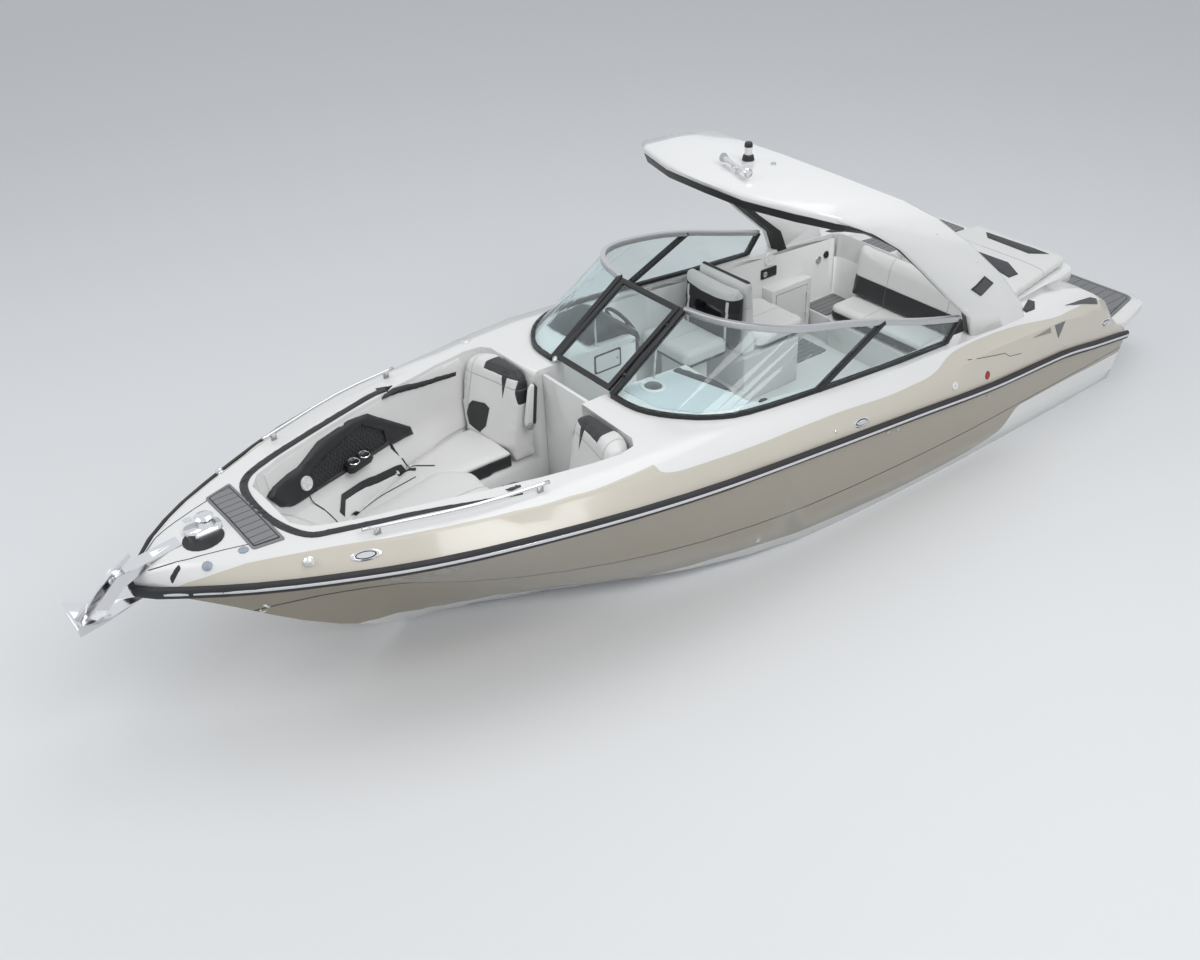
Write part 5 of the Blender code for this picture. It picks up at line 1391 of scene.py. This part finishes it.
def make_dash_trim():
    """Gauges on the helm's hood."""
    skin = tree_of("dash")
    for number, y in enumerate((-0.45, -0.80)):
        place, normal = struck(skin, (-0.6, y, 1.36), (1, 0, 0))
        if normal.x > 0:
            normal = -normal
        face = stud(0.032, 0.032, 0.006, 0.007)
        fitting("gauge_rim_%d" % number, place, normal, GAUGE_RIM, steel())
        fitting("gauge_face_%d" % number, place, normal, face, moulded("gauge_face"))


def make_starboard_wall():
    """The speaker, stereo and cup holders in the cockpit's starboard wall, and the pads below them."""
    y = wall_y(WALL_SPEAKER_X, WALL_SPEAKER_Z, -1) + 0.001
    speaker("cockpit_speaker", (WALL_SPEAKER_X, y, WALL_SPEAKER_Z), (0, 1, 0), 0.064)
    on_wall("stereo", rounded(STEREO, 0.012), -1, 0.010, black())
    place = (-1.735, wall_y(-1.74, 0.99, -1) + 0.010, 0.992)
    fitting("stereo_knob", place, (0, 1, 0), button(0.026, 0.010, 0.020, 0.014, 0.014), aluminium())
    cup = button(0.036, 0.006, 0.036 * 0.8, 0.010, 0.004)
    for number, (x, z, finish) in enumerate(((-2.470, 0.930, aluminium()), (-2.575, 0.955, black()))):
        fitting("wall_cup_%d" % number, (x, wall_y(x, z, -1), z), (0, 1, 0.25), cup, finish)
    on_deck("stern_step_pad", rounded(STEP_PAD, 0.02), 0.008, planks("step_planks", 0.06))
    on_deck("floor_pad_aft", rounded(FLOOR_PAD, 0.03), 0.006, planks("step_planks", 0.06))


def arch_ring(here, before, after):
    """The fore trim's section at one row of the arch, from its fore and aft edges and the rows beside it."""
    fore, aft = here
    across = aft - fore
    along = (after[0] + after[1] - before[0] - before[1]).normalized()
    inward = -along.cross(across).normalized()
    middle = (fore + aft) / 2
    if inward.dot(middle - Vector((middle.x, 0, ARCH_INSIDE_Z))) > 0:
        inward.negate()
    face = inward * ARCH_THICK + across * 0.06
    span = across.normalized()
    return [
        fore + face * 0.40 - span * 0.008,
        fore + face - span * 0.010 + inward * 0.010,
        fore + face + span * 0.10 + inward * 0.010,
        fore + face + span * 0.10 - inward * 0.004,
        fore + face * 0.97 + span * 0.012 - inward * 0.003,
        fore + face * 0.40 + span * 0.006,
    ]


def make_arch_trim():
    """The dark trim under the arch's fore edge, the light and stud on top, and what its sides carry."""
    port = [(Vector(row[:3]), Vector(row[3:])) for row in ARCH]
    mirror = Vector((1.0, -1.0, 1.0))
    rows = port + [(fore * mirror, aft * mirror) for fore, aft in reversed(port[:-1])]
    rings = [arch_ring(*row) for row in with_neighbours(rows)]
    finer = []
    for before, after in zip(rings, rings[1:]):
        finer += [before, [(a + b) / 2 for a, b in zip(before, after)]]
    loft_piece("arch_fore_trim", finer + [rings[-1]], black(), angle=40)
    up = (0, 0, 1)
    fitting("light_lens", LIGHT_BASE, up, stud(0.028, 0.028, 0.080, 0.080, 0.022), moulded("light_lens"))
    fitting("light_collar", LIGHT_BASE, up, LIGHT_COLLAR, black())
    fitting("light_cap", LIGHT_BASE, up, button(0.031, 0.098, 0.024, 0.112, 0.114, 0.078), black())
    fitting("arch_stud", *deck_place(*ARCH_STUD_AT, ARCH_SKIN), stud(0.020, 0.018, 0.014, 0.018), aluminium())
    screw = stud(0.008, 0.006, 0.003, 0.003)
    for word, side in SIDES:
        for number, (x, z) in enumerate(ARCH_SCREWS):
            place, normal = side_place(x, z, side, ARCH_SKIN)
            if place is not None:
                fitting("arch_screw_%s_%d" % (word, number), place, normal, screw, steel(), steps=12)
        on_side("arch_plate_" + word, ARCH_PLATE, side, 0.006, black(), tree=ARCH_SKIN)
        middle_x, middle_z = ARCH_PLATE_MIDDLE
        keep = ARCH_PLATE_FACE
        inner = [(x * keep + middle_x * (1 - keep), z * keep + middle_z * (1 - keep)) for x, z in ARCH_PLATE]
        on_side("arch_plate_face_" + word, inner, side, 0.008, moulded("plate_face"), tree=ARCH_SKIN)


def make_stern_ledge():
    """The sill under the hatch's aft edge."""
    rings = []
    for y, *heights in STERN_LEDGE:
        top = [(x, y, z) for x, z in zip(STERN_LEDGE_X, heights)]
        rings.append(top + [(x, y, z - 0.015) for x, y, z in reversed(top)])
    loft_piece("stern_ledge", rings, white_gel(), bevel=0.002, segments=1)


def make_stern_trim():
    """Inserts on the quarters, pads on the hatch and the platform, and flat marks on the topsides."""
    on_deck("stern_walk_pad", rounded(STERN_WALK, 0.03), 0.008, planks("stern_planks", 0.062), body="hatch")
    line, inside = rounded(shrunk(PLATFORM_PAD, 0.035), 0.05), rounded(shrunk(PLATFORM_PAD, 0.043), 0.05)
    on_deck("platform_edge", rounded(PLATFORM_PAD, 0.06), 0.005, moulded("grey_pad"))
    on_deck("platform_line", line, 0.0065, moulded("rubber"), hole=inside, slot="black_trim")
    on_deck("platform_planks", inside, 0.007, planks("wide_planks", 0.10))
    for word, side in SIDES:
        insert = [(x, y * side) for x, y in QUARTER_INSERT]
        on_deck("quarter_insert_" + word, insert, 0.008, quilted("quilt_deck", "x", "y"), ease=0.012)
        on_side("fascia_" + word, FASCIA, side, 0.003, moulded("smoke_grey"), pitch=0.06)
        on_side("scoop_" + word, SCOOP, side, 0.003, moulded("scoop_grey"))
        # Painted shade: the recessed slot as a thin pad of darkened beige
        on_side("scoop_slot_" + word, SCOOP_SLOT_SHADE, side, 0.002, moulded("slot_grey"))
        on_side("quarter_seam_" + word, ribbon(QUARTER_SEAM, 0.0025), side, 0.0008, black(), pitch=0.1)


def make_side_fittings():
    """Caps, dots, vents and cleats on both topsides."""
    dot = button(0.012, 0.005, 0.008, 0.008, 0.008)
    for word, side in SIDES:
        place, normal = side_place(*FUEL_CAP_AT, side)
        bar = stud(0.006, 0.005, 0.004, 0.005)
        fitting("fuel_cap_" + word, place, normal, FUEL_CAP, white_gel())
        raised = place + normal * 0.006
        fitting("fuel_bar_" + word, raised, normal, bar, steel(), along=(0.6, 0, 0.8), stretch=3.4)
        place, normal = side_place(*REFLECTOR_AT, side)
        disc = stud(0.030, 0.028, 0.005, 0.007)
        fitting("reflector_" + word, place, normal, disc, moulded("reflector"), along=(0, 0, 1), stretch=1.25)
        for number, (x, z) in enumerate(VENTS):
            place, normal = side_place(x, z, side)
            fitting("vent_%s_%d" % (word, number), place, normal, dot, aluminium(), stretch=1.5)
        fitting("side_dot_" + word, *side_place(*SIDE_DOT_AT, side), dot, steel())
        fitting("stern_dot_" + word, *side_place(*STERN_DOT_AT, side), dot, steel())
        fitting("drain_" + word, *side_place(*DRAIN_AT, side), DRAIN, steel())
        popup_cleat("stern_cleat_" + word, *side_place(*STERN_CLEAT_AT, side), (1, 0, 0.1))


def make_tow_eye():
    """A plate and a half ring on the stem."""
    plate = button(0.028, 0.006, 0.018, 0.012, 0.012, -0.01)
    out, up = Vector((0.75, 0.0, -0.66)), Vector((0.66, 0.0, 0.75))
    fitting("tow_eye_base", (3.815, 0.0, 0.66), out, plate, steel(), along=up, stretch=1.4)
    middle = Vector((3.818, 0.0, 0.652))
    eye = []
    for step in range(13):
        turn = math.pi * step / 12
        eye.append(middle + out * (0.045 * math.sin(turn)) + up * (0.028 * math.cos(turn)))
    tube("tow_eye", eye, 0.007, steel(), up=(0, 1, 0))


def make_rails():
    """The steel strip round the rub rail and the bar over each half of the windscreen."""
    side = smoothed([(x, -y - 0.033, z) for x, y, z in RAIL_LINE], 6)[:-1]
    tip = [(4.556, -0.012, 1.1745), (4.556, 0.012, 1.1745)]
    path = side + tip + [Vector((point.x, -point.y, point.z)) for point in reversed(side)]
    sweep("rail_strip", path, RAIL_STRIP, steel(), angle=50)
    bar = [(-0.021, -0.025), (0.021, -0.025), (0.021, 0.025), (-0.021, 0.025)]
    for word, side in SIDES:
        sweep("top_rail_" + word, screen_head(side), bar, aluminium(), bevel=0.008, angle=40)


make_camera()
make_floor()
make_light()
make_shells()
bow_pads = make_bow_cushions()
make_sunpad()
make_seats(SEATS)
make_helm_back()
make_seats(AFT_SEATS)
cushion("dash", charcoal(), voxel=0.014, shrink=0.004)
make_rails()
make_bow_band()
bow_pads += make_bow_bolsters()
make_bow_lines(bow_pads)
make_bow_pocket()
make_bow_armrest()
make_foredeck()
make_screen_trim()
make_port_console()
make_door_trim()
make_dash_trim()
make_starboard_wall()
make_arch_trim()
make_stern_ledge()
make_stern_trim()
make_side_fittings()
make_tow_eye()
bpy.context.scene.view_settings.view_transform = "Standard"
